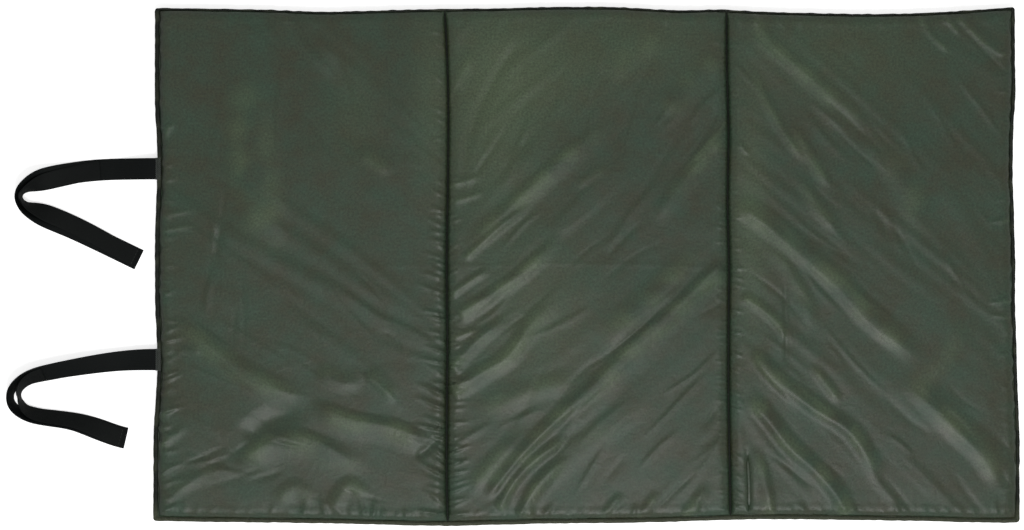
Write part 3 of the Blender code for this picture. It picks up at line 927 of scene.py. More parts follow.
def linked(name: str, form: bmesh.types.BMesh) -> bpy.types.Object:
    """Turn a form into a smooth object in the scene.

    Args:
        name: Name of the object.
        form: Its form, which is freed.

    Returns:
        The new object.
    """
    mesh = bpy.data.meshes.new(name)
    form.to_mesh(mesh)
    form.free()
    mesh.shade_smooth()
    return placed(name, mesh)


def vertex_places(mesh: bpy.types.Mesh) -> Array:
    """Return the places of a mesh's vertices, one row for each."""
    flat = np.empty(len(mesh.vertices) * 3)
    mesh.vertices.foreach_get("co", flat)
    return flat.reshape(-1, 3)


def grid_index(places: Array, shape: tuple[int, ...]) -> Pair:
    """Find vertices in the grid that they were made as.

    Args:
        places: Their places in a grid from -1 to 1 each way.
        shape: The grid's rows and columns.

    Returns:
        The row and the column of each.
    """
    column = np.rint((places[:, 0] + 1) / 2 * (shape[1] - 1)).astype(int)
    row = np.rint((places[:, 1] + 1) / 2 * (shape[0] - 1)).astype(int)
    return row, column


def closed_form(name: str, upper: Skin, lower: Skin) -> bpy.types.Object:
    """Build a closed form from two skins whose rims are joined.

    Args:
        name: Name of the piece.
        upper: The face that looks up, or out.
        lower: The face behind it, with the same rim but any number of points.

    Returns:
        The new object, in the scene.
    """
    form = bmesh.new()
    form.loops.layers.uv.new("cloth")
    for skin, height in ((upper, 0), (lower, -1)):
        rows, columns = skin.points.shape[:2]
        bmesh.ops.create_grid(
            form, x_segments=columns - 1, y_segments=rows - 1, size=1,
            matrix=Matrix.Translation((0, 0, height)))
    bmesh.ops.bridge_loops(form, edges=[edge for edge in form.edges if edge.is_boundary])
    bmesh.ops.recalc_face_normals(form, faces=form.faces)
    piece = linked(name, form)
    mesh = piece.data

    grid = vertex_places(mesh)
    places, cloth, crest = np.empty_like(grid), np.empty((len(grid), 2)), np.zeros(len(grid))
    for skin, chosen in ((upper, grid[:, 2] > -0.5), (lower, grid[:, 2] <= -0.5)):
        index = grid_index(grid[chosen], skin.points.shape)
        places[chosen] = skin.points[index]
        cloth[chosen] = skin.cloth[index]
        if skin.crest is not None:
            crest[chosen] = skin.crest[index]
    mesh.vertices.foreach_set("co", places.ravel())
    corners = np.empty(len(mesh.loops), int)
    mesh.loops.foreach_get("vertex_index", corners)
    mesh.uv_layers["cloth"].data.foreach_set("uv", cloth[corners].ravel())
    # The crest attribute carries the painted highlight, the painted shade and the lighter and
    # darker patches
    tone_and_light = mesh.attributes.new("crest", "FLOAT", "POINT")
    tone_and_light.data.foreach_set("value", crest)
    face_outwards(mesh)
    mesh.set_sharp_from_angle(angle=math.radians(SHARP_ANGLE))
    return piece


def face_outwards(mesh: bpy.types.Mesh) -> None:
    """Turn every face of a closed mesh outwards, from the sign of its volume.

    Args:
        mesh: The mesh, changed in place.
    """
    form = bmesh.new()
    form.from_mesh(mesh)
    if form.calc_volume(signed=True) < 0:
        bmesh.ops.reverse_faces(form, faces=form.faces)
    form.to_mesh(mesh)
    form.free()
    mesh.update()


def dress(piece: bpy.types.Object, material: bpy.types.Material,
          replaced: tuple[str, ...]) -> None:
    """Give a piece its material and say which solids it stands for.

    Args:
        piece: The piece to dress.
        material: Its finish.
        replaced: The solids that it replaces.
    """
    piece.data.materials.clear()
    piece.data.materials.append(material)
    if replaced:
        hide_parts(*replaced)
    log.info("%s: %d faces", piece.name, len(piece.data.polygons))


# Finishes


def linear(code: str) -> tuple[float, float, float, float]:
    """Turn an sRGB colour into a linear one.

    Args:
        code: The colour as a hash mark and six hex digits.

    Returns:
        Red, green, blue and full alpha.
    """
    parts = [int(code[i:i + 2], 16) / 255 for i in (1, 3, 5)]
    turned = [p / 12.92 if p <= 0.04045 else ((p + 0.055) / 1.055) ** 2.4 for p in parts]
    return (*turned, 1.0)


def wave_scale(pitch: float) -> float:
    """Return the Wave Texture scale whose bands repeat at a pitch in metres."""
    return 2 * math.pi / 20 / pitch


def set_sockets(material: Owner, node: bpy.types.Node, values: dict | None = None,
                links: dict | None = None) -> None:
    """Set constants on a node's sockets, and link what feeds the others.

    Args:
        material: The material or world that has the node.
        node: The node.
        values: Constants for its sockets.
        links: Sockets that feed its sockets.
    """
    for name, value in (values or {}).items():
        node.inputs[name].default_value = value
    for name, source in (links or {}).items():
        material.node_tree.links.new(source, node.inputs[name])


def add_node(material: Owner, kind: str, settings: dict | None = None,
             values: dict | None = None, links: dict | None = None) -> bpy.types.Node:
    """Add one node to a material.

    Args:
        material: The material or world that takes it.
        kind: Blender's name for the node.
        settings: Properties of the node.
        values: Constants for its sockets.
        links: Sockets that feed its sockets.

    Returns:
        The new node.
    """
    node = material.node_tree.nodes.new(kind)
    for name, value in (settings or {}).items():
        setattr(node, name, value)
    set_sockets(material, node, values, links)
    return node


def new_material(name: str) -> tuple[bpy.types.Material, bpy.types.Node]:
    """Return a new node material and its Principled shader."""
    material = bpy.data.materials.new(name)
    material.use_nodes = True
    return material, material.node_tree.nodes["Principled BSDF"]


def patterned(material: bpy.types.Material, shader: bpy.types.Node, colours: tuple[str, str],
              height: bpy.types.NodeSocket, bump: float, values: dict,
              invert: bool = False) -> None:
    """Colour a surface and raise it by one pattern.

    Args:
        material: The surface's material.
        shader: Its shader.
        colours: Its colours where the pattern is nought and where it is one.
        height: The pattern.
        bump: How high the pattern stands, in metres.
        values: Constants for the shader's sockets.
        invert: Whether the pattern goes down instead of up.
    """
    colour = add_node(material, "ShaderNodeMix", {"data_type": "RGBA"},
                      {"A": linear(colours[0]), "B": linear(colours[1])}, {"Factor": height})
    raised = add_node(material, "ShaderNodeBump", {"invert": invert},
                      {"Strength": 0.8, "Distance": bump}, {"Height": height})
    set_sockets(material, shader, values, {
        "Base Color": colour.outputs["Result"], "Normal": raised.outputs["Normal"]})


@dataclass(frozen=True)
class Weave:
    """Plain-woven cloth: two threads crossing, with a coat that softens them.

    The weave gives the eye a fine even grain, and the coat a broad soft sheen on the
    flanks that face the light.
    """

    name: str
    low: str
    high: str
    # The colour that the painted highlights, the painted light and the lighter patches blend
    # towards
    tone_and_light: str
    roughness: float
    pitch: float
    bump: float
    gloss: float
    crumple: float = 0.5 * MM

    def build(self) -> bpy.types.Material:
        """Return the cloth's material."""
        material, shader = new_material(self.name)
        cloth = add_node(material, "ShaderNodeUVMap", {"uv_map": "cloth"}).outputs["UV"]
        warp, weft = (
            add_node(material, "ShaderNodeTexWave",
                     {"wave_type": "BANDS", "bands_direction": way, "wave_profile": "SIN"},
                     {"Scale": wave_scale(self.pitch), "Distortion": 0.6, "Detail": 1.0,
                      "Detail Scale": 0.4}, {"Vector": cloth}).outputs["Fac"]
            for way in ("X", "Y"))
        drift, grain, crinkle = (
            add_node(material, "ShaderNodeTexNoise", None,
                     {"Scale": scale, "Detail": detail, "Roughness": rough,
                      "Distortion": bent}, {"Vector": cloth}).outputs["Fac"]
            for scale, detail, rough, bent in (
                (22.0, 5.0, 0.65, 0.0), (380.0, 3.0, 0.7, 0.0), (75.0, 4.0, 0.6, 0.7)))
        crest = add_node(material, "ShaderNodeAttribute", {"attribute_name": "crest"})
        # The last range darkens the cloth where the crest attribute is below nought: painted shade
        # and darker patches
        patches, gloss, shade, painted_shade = (
            add_node(material, "ShaderNodeMapRange", None,
                     {"From Min": low, "From Max": high, "To Min": least, "To Max": most},
                     {"Value": source}).outputs["Result"]
            for source, low, high, least, most in (
                (drift, 0.35, 0.65, 0.0, 1.0),
                (drift, 0.3, 0.7, self.roughness - 0.05, self.roughness + 0.06),
                (grain, 0.3, 0.7, 0.62, 1.42),
                (crest.outputs["Fac"], -1.0, 0.0, 0.3, 1.0)))
        threads, darker = (
            add_node(material, "ShaderNodeMath", {"operation": "MULTIPLY"}, None,
                     {0: one, 1: other}).outputs["Value"]
            for one, other in ((warp, weft), (shade, painted_shade)))
        base = add_node(material, "ShaderNodeMix", {"data_type": "RGBA"},
                        {"A": linear(self.low), "B": linear(self.high)}, {"Factor": patches})
        # Painted highlight, painted light and lighter patches: mixed towards the lighter colour
        # where the crest attribute is above nought
        lightened = add_node(material, "ShaderNodeMix", {"data_type": "RGBA"},
                          {"B": linear(self.tone_and_light)},
                          {"Factor": crest.outputs["Fac"], "A": base.outputs["Result"]})
        tint = add_node(material, "ShaderNodeVectorMath", {"operation": "SCALE"}, None,
                        {"Vector": lightened.outputs["Result"], "Scale": darker})
        woven = add_node(material, "ShaderNodeBump", None,
                         {"Strength": 0.6, "Distance": self.bump}, {"Height": threads})
        crumpled = add_node(material, "ShaderNodeBump", None,
                            {"Strength": 0.8, "Distance": self.crumple},
                            {"Height": crinkle, "Normal": woven.outputs["Normal"]})
        set_sockets(material, shader, {"Specular IOR Level": self.gloss, "IOR": 1.5}, {
            "Base Color": tint.outputs["Vector"], "Roughness": gloss,
            "Normal": crumpled.outputs["Normal"]})
        return material


@dataclass(frozen=True)
class Webbing:
    """Woven polypropylene webbing: close ribs across the strap between two selvedges."""

    name: str
    low: str
    high: str
    rib: float
    bump: float
    roughness: float = 0.62
    gloss: float = 0.07

    def build(self) -> bpy.types.Material:
        """Return the webbing's material."""
        material, shader = new_material(self.name)
        cloth = add_node(material, "ShaderNodeUVMap", {"uv_map": "cloth"}).outputs["UV"]
        ribs, ends = (
            add_node(material, "ShaderNodeTexWave",
                     {"wave_type": "BANDS", "bands_direction": way},
                     {"Scale": wave_scale(pitch), **values}, {"Vector": cloth}).outputs["Fac"]
            for way, pitch, values in (
                ("X", self.rib, {"Distortion": 1.2, "Detail": 1.0, "Detail Scale": 0.5}),
                ("Y", self.rib * 1.3, {})))
        both = add_node(material, "ShaderNodeMath", {"operation": "MULTIPLY"}, None,
                        {0: ribs, 1: ends})
        patterned(material, shader, (self.low, self.high), both.outputs["Value"], self.bump,
                  {"Roughness": self.roughness, "Specular IOR Level": self.gloss, "IOR": 1.49})
        return material


@dataclass(frozen=True)
class Pile:
    """Hook tape, loop tape, thread or foam: a dull surface broken into small cells."""

    name: str
    low: str
    high: str
    cell: float
    bump: float
    roughness: float
    gloss: float

    def build(self) -> bpy.types.Material:
        """Return the material, with one dark gap round each cell."""
        material, shader = new_material(self.name)
        place = add_node(material, "ShaderNodeTexCoord").outputs["Object"]
        cells = add_node(material, "ShaderNodeTexVoronoi", None,
                         {"Scale": 1 / self.cell, "Randomness": 0.55}, {"Vector": place})
        patterned(material, shader, (self.high, self.low), cells.outputs["Distance"], self.bump,
                  {"Roughness": self.roughness, "Specular IOR Level": self.gloss}, invert=True)
        return material


# Coated nylon, woven and dyed green-grey. The real thread pitch is 0.5 mm, drawn at 0.9 mm
# because a finer one would not show
# Its third colour is the lighter one that the painted highlights and the lighter patches blend to
NYLON = Weave("coated_nylon", "#2E3223", "#293A2C", "#46533C", 0.39, 0.9 * MM, 0.09 * MM, 0.28)
# The same cloth turned over the edge and flattened by its stitching, coloured near black.
# On the fold webs that dark colour is painted shade down in the grooves
BINDING_AND_GROOVE_SHADE = Weave("nylon_binding_tape", "#0B0E0B", "#131710", "#3A3E30", 0.55, 0.9 * MM,
                0.09 * MM, 0.12)
# Polypropylene webbing, black, with close ribs
STRAP_WEBBING = Webbing("polypropylene_webbing", "#060808", "#101413", 1.5 * MM, 0.22 * MM)
# Nylon hook tape, black: rows of hooks that read as a fine speckle
HOOKS = Pile("nylon_hook_tape", "#050606", "#0F1211", 1.1 * MM, 0.4 * MM, 0.6, 0.07)
# Nylon loop tape, black: a soft brushed pile
LOOPS = Pile("nylon_loop_tape", "#0E0F0F", "#1A1D1D", 0.8 * MM, 0.5 * MM, 0.95, 0.05)
# Bonded polyester thread, dark, with a slight shine
THREAD = Pile("polyester_thread", "#141814", "#232823", 0.4 * MM, 0.05 * MM, 0.5, 0.2)
# The same thread in the bar tacks, coloured lighter as a painted highlight where the close-packed
# thread catches the light
TACKS = Pile("polyester_tack_thread", "#333834", "#565C57", 0.4 * MM, 0.05 * MM, 0.5, 0.3)
# Closed-cell foam, grey, cut from a sheet
FOAM = Pile("closed_cell_foam", "#4A4C4E", "#5A5C5E", 1.2 * MM, 0.3 * MM, 0.95, 0.2)


# Cloth that settles

# How far out of square each top cover was sewn: a rise of one, the skew across
SKEWS = {"left": -0.010, "centre": 0.016, "right": -0.016}


@dataclass
class Settling:
    """A cloth simulation of one top cover, cut a little large and out of square for its rim.

    The skew pulls the cover along one diagonal, so its loose folds run that way.
    """

    skew: float
    spacing: float = 4.5 * MM
    frames: int = 30
    pulled: int = 12
    growth: float = 0.004
    uneven: float = 0.5 * MM
    uneven_pitch: float = 110 * MM
    gap: float = 1.6 * MM
    skin: float = 0.4 * MM
    cap: float = 3.0 * MM
    index: Pair | None = None

    def sheet(self, name: str, points: Array) -> bpy.types.Object:
        """Build an open grid.

        Args:
            name: Name of the object.
            points: The grid's points.

        Returns:
            The new object, in the scene.
        """
        form = bmesh.new()
        rows, columns = points.shape[:2]
        bmesh.ops.create_grid(form, x_segments=columns - 1, y_segments=rows - 1, size=1)
        sheet = linked(name, form)
        self.index = grid_index(vertex_places(sheet.data), points.shape)
        sheet.data.vertices.foreach_set("co", points[self.index].ravel())
        sheet.data.update()
        return sheet

    def hold(self, cover: bpy.types.Object, start: Array) -> None:
        """Pin the cover's rim, and pull it from its cut size to the panel's over some frames.

        Args:
            cover: The sheet that settles.
            start: The places of its points on the panel.
        """
        rows, columns = start.shape[:2]
        row, column = self.index
        edge = (row <= 1) | (row >= rows - 2) | (column <= 1) | (column >= columns - 2)
        pins = cover.vertex_groups.new(name="pins")
        pins.add(np.nonzero(edge)[0].tolist(), 1.0, "REPLACE")
        cover.shape_key_add(name="cut")
        held = cover.shape_key_add(name="held")
        held.data.foreach_set("co", start[self.index].ravel())
        for number, value in ((1, 0), (self.pulled, 1)):
            held.value = value
            held.keyframe_insert("value", frame=number)

    def clothe(self, cover: bpy.types.Object) -> None:
        """Make the cover behave as thin coated nylon.

        Args:
            cover: The sheet that settles.
        """
        cloth = cover.modifiers.new("cloth", "CLOTH")
        for name, value in (
                ("vertex_group_mass", "pins"), ("quality", 5), ("mass", 0.02),
                ("tension_stiffness", 25), ("compression_stiffness", 25),
                ("shear_stiffness", 6), ("bending_stiffness", 0.05), ("air_damping", 2)):
            setattr(cloth.settings, name, value)
        cloth.settings.effector_weights.gravity = 0.3
        cloth.collision_settings.use_self_collision = False
        cloth.collision_settings.distance_min = self.skin
        cloth.point_cache.frame_start = 1
        cloth.point_cache.frame_end = self.frames

    def run(self, pad: Pad) -> Array:
        """Simulate the cover of a panel.

        Args:
            pad: The panel.

        Returns:
            How far each point of an even grid over the panel moved, in metres.
        """
        columns, rows = (
            int(round(span / self.spacing)) + 1 for span in (PANEL_LENGTH, PANEL_DEPTH))
        xs, ys = pad.plan(np.linspace(0, 1, columns), np.linspace(0, 1, rows))
        heights = pad.top_heights(xs, ys, gathered=False, creased=False)
        start = np.stack([xs, ys, heights], axis=-1)
        cut = start.copy()
        cut[..., 0] += self.growth * (xs - xs.mean()) - self.skew * ys
        cut[..., 1] += self.growth * ys
        for axis in (0, 1):
            cut[..., axis] += self.uneven * soft_noise(
                xs, ys, self.uneven_pitch, pad.seed + 60 + axis)
        cover = self.sheet("settling_cover", cut)
        bed = self.sheet("settling_bed", start - np.array([0, 0, self.gap]))
        bed.modifiers.new("collision", "COLLISION")
        bed.collision.thickness_outer = self.skin
        self.hold(cover, start)
        self.clothe(cover)
        scene = bpy.context.scene
        for number in range(1, self.frames + 1):
            scene.frame_set(number)
        ended = cover.evaluated_get(bpy.context.evaluated_depsgraph_get()).to_mesh()
        places = np.empty_like(start)
        places[self.index] = vertex_places(ended)
        scene.frame_set(1)
        for item in (cover, bed):
            bpy.data.objects.remove(item, do_unlink=True)
        return self.evened(pad.name, places - start)

    def evened(self, name: str, moved: Array) -> Array:
        """Cap the longest moves and ease them along both ways of the grid.

        Args:
            name: The panel's name, for the log.
            moved: How far each point moved.

        Returns:
            The eased moves.
        """
        length = np.linalg.norm(moved, axis=-1)
        log.info("%s cover settled: %.2f mm at most, %.2f mm on average", name,
                 length.max() / MM, length.mean() / MM)
        moved *= (np.tanh(length / self.cap) * self.cap / np.maximum(length, 1e-9))[..., None]
        for axis in (0, 1):
            last = moved.shape[axis] - 2
            before, inside, after = (
                np.take(moved, range(s, last + s), axis) for s in (0, 1, 2))
            first, final = (np.take(moved, [at], axis) for at in (0, -1))
            eased_out = 0.5 * inside + 0.25 * (before + after)
            moved = np.concatenate([first, eased_out, final], axis)
        return moved


def read_grid(grid: Array, us: Array, vs: Array) -> Array:
    """Read an even grid of vectors at shares of its length and depth, through smooth curves.

    Args:
        grid: Values (rows, columns, 3) at even shares.
        us: Shares along the columns.
        vs: Shares along the rows.

    Returns:
        Values (len(vs), len(us), 3).
    """
    for axis, shares in ((1, us), (0, vs)):
        count = grid.shape[axis]
        at = np.clip(shares, 0, 1) * (count - 1)
        low = np.clip(np.floor(at).astype(int), 0, count - 2)
        t = (at - low)[:, None] if axis else (at - low)[:, None, None]
        weights = (
            -0.5 * t + t ** 2 - 0.5 * t ** 3, 1 - 2.5 * t ** 2 + 1.5 * t ** 3,
            0.5 * t + 2 * t ** 2 - 1.5 * t ** 3, -0.5 * t ** 2 + 0.5 * t ** 3)
        grid = sum(
            weight * np.take(grid, np.clip(low + step - 1, 0, count - 1), axis)
            for step, weight in enumerate(weights))
    return grid


# The sub-assemblies


@dataclass(frozen=True)
class Hinge:
    """The cloth that turns over one hinge line of a fold: who holds it before and after."""

    low_body: str
    high_body: str
    start: float
    end: float

    def turn(self, piece: bpy.types.Object, height: float) -> None:
        """Bake the piece's placement into its mesh; it is not tied to either body."""
        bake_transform(piece)


HINGES = {
    "left": Hinge("left_panel", "left_fold_strip", -0.188, -0.164),
    "centre_left": Hinge("left_fold_strip", "centre_panel", -0.162, -0.138),
    "centre_right": Hinge("centre_panel", "right_fold_strip", 0.138, 0.162),
    "right": Hinge("right_fold_strip", "right_panel", 0.164, 0.188),
}


@dataclass
class PaddedPanel:
    """One panel: two covers of coated nylon with a foam slab loose between them."""

    pad: Pad
    finish: bpy.types.Material
    filling: bpy.types.Material
    foam_reach: Point
    foam_half: float = 0.283
    foam_step: float = 12 * MM
    foam_gap: float = 1.2 * MM
    foam_ground: float = 2.2 * MM
    foam_rim: float = 1 * MM
    foam_round: float = 6 * MM
    fullness: float = 0.85
    # How much lighter the high creases are painted, as a painted highlight, and the crease height
    # at which it is full
    painted_light: float = 0.55
    painted_light_height: float = 2.4 * MM
    # How dark the painted shade along the end band is, and how far in it reaches
    edge_shade: float = 0.75
    edge_shade_reach: float = 8 * MM

    @property
    def halves(self) -> tuple[tuple[str, float, float], ...]:
        """Return the hinge and the shares of each stretch that turns on one hinge."""
        if self.pad.name == "centre":
            return (("centre_left", 0, 0.5), ("centre_right", 0.5, 1))
        return ((self.pad.name, 0, 1),)

    def skin(self, side: Side, steps: Point, low: float, high: float, sink: float) -> Skin:
        """Return one skin of the panel.

        Args:
            side: The top skin or the underside.
            steps: Distances between grid columns and between grid rows, in metres.
            low: Share of the panel's length where the skin starts.
            high: Share where it ends.
            sink: How far inside the outer surface the skin lies, in metres.

        Returns:
            The skin, with its cloth coordinates.
        """
        us = grid_lines(PANEL_LENGTH, steps[0], low, high)
        vs = grid_lines(PANEL_DEPTH, steps[1])
        xs, ys = self.pad.plan(us, vs)
        if side is Side.TOP:
            heights = self.pad.top_heights(xs, ys, gathered=not sink)
        else:
            heights = self.pad.bottom_heights(xs, ys)
        if sink:
            rim = 0.5 * MM
            heights = heights - side.value * (rim + (sink - rim) * self.pad.rise(xs, ys))
        skin = Skin.over(xs, ys, heights)
        if side is Side.TOP and not sink:
            skin.crest = self.crest(xs, ys)
            moved = self.pad.settled()
            if moved is not None:
                skin.points = skin.points + read_grid(moved, us, vs)
                skin.points[..., 2] = self.pad.pressed(skin.points[..., 2])
        return skin

    def crest(self, xs: Array, ys: Array) -> Array:
        """Return how much lighter or darker the cloth is painted: lighter along the high creases.

        Args:
            xs: The skin's places along the mat, in metres.
            ys: Its places across the mat.

        Returns:
            Above nought, to one, where it is painted lighter: painted highlight along the high
            creases, and lighter patches. Below it where it is painted darker: darker patches, and
            painted shade at the end band that the straps leave, where the cloth rolls under.
        """
        folds = np.zeros_like(xs)
        for crease in self.pad.creases:
            if crease.height > 0:
                crease.raise_skin(xs, ys, folds)
        patchy = 0.5 + 0.5 * soft_noise(xs, ys, 45 * MM, self.pad.seed + 9)
        # Painted highlight: lighter along the high creases, in patches
        tone_and_light = np.clip(folds / self.painted_light_height, 0, 1) * np.clip(patchy, 0, 1) * self.painted_light
        for area in TONE_PATCHES[self.pad.name]:
            tone_and_light = tone_and_light + area.strength(xs, ys)
        # Painted shade: darker towards the end band, where the cloth rolls under
        if self.pad.low is Grip.BAND:
            inwards = self.pad.distances(xs, ys)[0]
            tone_and_light = tone_and_light - self.edge_shade * (1 - smooth_step(inwards / self.edge_shade_reach))
        return np.clip(tone_and_light, -1, 1)

    def build(self) -> None:
        """Build the covers and the foam."""
        name, shape = self.pad.name, self.pad.shape
        for hinge, low, high in self.halves:
            fold = "left" if "left" in hinge else "right"
            for side, upper, lower in (
                    (Side.TOP, (shape.fine_steps, 0), (shape.inner_steps, shape.wall)),
                    (Side.BOTTOM, (shape.inner_steps, shape.lower_wall),
                     (shape.coarse_steps, 0))):
                label = side.name.lower()
                cover = closed_form(
                    f"{hinge}_{label}_cover",
                    *(self.skin(side, steps, low, high, sink) for steps, sink in (upper, lower)))
                dress(cover, self.finish,
                      (f"{label}_cover_{name}", f"{fold}_fold_slack_{label}"))
                HINGES[hinge].turn(cover, shape.seam_height)
        self.fill()

    def fill(self) -> None:
        """Build the foam slab."""
        name, (low, high) = self.pad.name, self.foam_reach
        xs, ys = np.meshgrid(
            np.linspace(low, high, int(round((high - low) / self.foam_step)) + 1),
            np.linspace(-self.foam_half, self.foam_half, 48))
        edge = np.minimum(np.minimum(xs - low, high - xs), self.foam_half - np.abs(ys))
        top = self.pad.top_heights(xs, ys, gathered=False) - self.pad.shape.wall - self.foam_gap
        bottom = self.pad.bottom_heights(xs, ys) + self.foam_ground
        middle = (top + bottom) / 2
        thick = (top - bottom) / 2 * rolled(edge + self.foam_rim, self.foam_round)
        foam = closed_form(
            f"{name}_foam", Skin.over(xs, ys, middle + thick), Skin.over(xs, ys, middle - thick))
        dress(foam, self.filling, (f"foam_core_{name}",))
        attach(foam, f"{name}_panel")


@dataclass(frozen=True)
class Stretch:
    """One stretch of the edge band that turns together.

    It holds the names of its band and of its thread, and of the solids that they replace.
    """

    band: str
    thread: str
    hinge: str
    outer: Array
    inner: Array
    hems: tuple[str, ...]
    topstitch: str


@dataclass
class EdgeBand:
    """The band round the mat: cloth turned over the edge, drawn in and out by its thread."""

    shape: Shape
    finish: bpy.types.Material
    thickness: float = 3.4 * MM
    corner: float = 4 * MM
    inner_corner: float = 0.6 * MM
    corner_x: float = 0.497
    step: float = 2.6 * MM
    wander: float = 0.25 * MM
    wave: float = 0.35 * MM
    dimple: float = 0.3 * MM
    lip: float = 0.12 * MM
    seam: float = 0.1635
    # Painted light: how much lighter the front band is painted where its upper face meets the
    # lamp, and where that starts. The band is also lighter in lumps along its crown
    painted_light: float = 0.9
    painted_light_from: float = 0.27
    painted_light_reach: float = 20 * MM
    lighter_lumps: float = 0.5

    def drift(self, at: Array, seed: int) -> Array:
        """Return how far the thread draws the band's edge in or out at places along it."""
        return self.wander * soft_noise(at, at * 0, 13 * MM, seed)

    def long_side(self, outs: Array, ins: Array, rear: bool) -> Pair:
        """Follow part of a long edge.

        Args:
            outs: Places along the mat of the points on the band's outer line.
            ins: Those of the points on its inner line.
            rear: Whether it is the rear edge.

        Returns:
            The outer and the inner plan points.
        """
        table, width, way = (
            (REAR_EDGE, WIDTHS.rear, -1) if rear else (FRONT_EDGE, WIDTHS.front, 1))
        return (
            np.stack([outs, through(table, outs) + self.drift(outs, 71 + rear)], axis=1),
            np.stack([ins, through(table, ins) + way * width], axis=1))

    def wrap(self, left: bool) -> Pair:
        """Follow the band from a fold round one end, back to the fold.

        Args:
            left: Whether it is the left end.

        Returns:
            The outer and the inner plan points.
        """
        table, width, way = (
            (LEFT_EDGE, WIDTHS.left, 1) if left else (RIGHT_EDGE, WIDTHS.right, -1))
        fold, tight = -way * self.seam, self.inner_corner
        angles = np.linspace(0, math.pi / 2, 7)[1:-1]
        ys, halves = [], []
        for edge, deep, turn in ((REAR_EDGE, WIDTHS.rear, -1), (FRONT_EDGE, WIDTHS.front, 1)):
            y = line_at(edge, -way * self.corner_x)
            x = line_at(table, y)
            count = int(abs(fold - x) / self.step)
            side = self.long_side(
                np.linspace(fold, x + way * self.corner, count),
                np.linspace(fold, x + way * (width + tight), count), turn == -1)
            runs = []
            for run, radius, across, down in zip(
                    side, (self.corner, tight), (0, width), (0, deep)):
                centre_x, centre_y = x + way * (across + radius), y + turn * (down + radius)
                arc = np.stack([centre_x - way * radius * np.sin(angles),
                                centre_y - turn * radius * np.cos(angles)], axis=1)
                runs.append(np.concatenate([run, arc])[::-turn])
            ys.append(y)
            halves.append(runs)
        count = int(abs(ys[0] - ys[1]) / self.step)
        outs = np.linspace(ys[0] - self.corner, ys[1] + self.corner, count)
        ins = np.linspace(ys[0] - WIDTHS.rear - tight, ys[1] + WIDTHS.front + tight, count)
        end = (np.stack([through(table, outs) + self.drift(outs, 77), outs], axis=1),
               np.stack([through(table, ins) + way * width, ins], axis=1))
        outer, inner = (np.concatenate(runs) for runs in zip(halves[0], end, halves[1]))
        return outer, inner

    def stretches(self) -> list[Stretch]:
        """Return the band's six stretches: round each end, and four along the centre panel."""
        made = [
            Stretch(f"{name}_band", f"{name}_band_stitching", name, *self.wrap(name == "left"),
                    tuple(f"{name}_{side}_hem" for side in ("front", "rear", "end")),
                    f"{name}_topstitch")
            for name in ("left", "right")]
        for side in ("rear", "front"):
            for hinge, start, end in (
                    ("centre_left", -self.seam, 0), ("centre_right", 0, self.seam)):
                xs = np.linspace(start, end, max(int(abs(end - start) / self.step), 2) + 1)
                made.append(Stretch(
                    f"{hinge}_{side}_band", f"{hinge}_{side}_stitching", hinge,
                    *self.long_side(xs, xs, side == "rear"), (f"centre_{side}_hem",),
                    f"centre_topstitch_{side}"))
        return made

    def skins(self, outer: Array, inner: Array) -> tuple[Skin, Skin]:
        """Return the band's skins between its outer and its inner line.

        Args:
            outer: Plan points of the outer line.
            inner: Those of the inner line.

        Returns:
            The upper and the lower skin.
        """
        shares = np.array([0, 0.03, 0.10, 0.22, 0.40, 0.60, 0.78, 0.90, 0.97, 1])
        full = (1 - np.abs(2 * shares - 1) ** 3.2) ** (1 / 2.2)
        along = lengths_along(outer)
        plan = inner[:, None, :] + (outer - inner)[:, None, :] * shares[None, :, None]
        wave, dimples, lumps = (
            soft_noise(along, along * 0, pitch * MM, seed)[:, None]
            for pitch, seed in ((60, 81), (7, 82), (17, 83)))
        half = self.thickness / 2 * full + self.lip
        middle = self.shape.seam_height + self.wave * wave
        top = middle + half + self.dimple * dimples * full
        width = np.linalg.norm(outer - inner, axis=1)
        cloth = np.stack(np.broadcast_arrays(along[:, None], width[:, None] * shares), axis=-1)
        # Painted light: lighter towards the front band, and lighter in lumps along the crown
        lightened = self.painted_light * smooth_step((-plan[..., 1] - self.painted_light_from) / self.painted_light_reach)
        lightened = np.maximum(lightened, self.lighter_lumps * np.clip(lumps, 0, 1) * full)
        return (
            Skin(np.concatenate([plan, top[..., None]], axis=-1), cloth, lightened),
            Skin(np.concatenate([plan, (middle - half)[..., None]], axis=-1), cloth))

    def build(self) -> None:
        """Build the band's stretches."""
        for stretch in self.stretches():
            band = closed_form(stretch.band, *self.skins(stretch.outer, stretch.inner))
            dress(band, self.finish, stretch.hems)
            HINGES[stretch.hinge].turn(band, self.shape.seam_height)


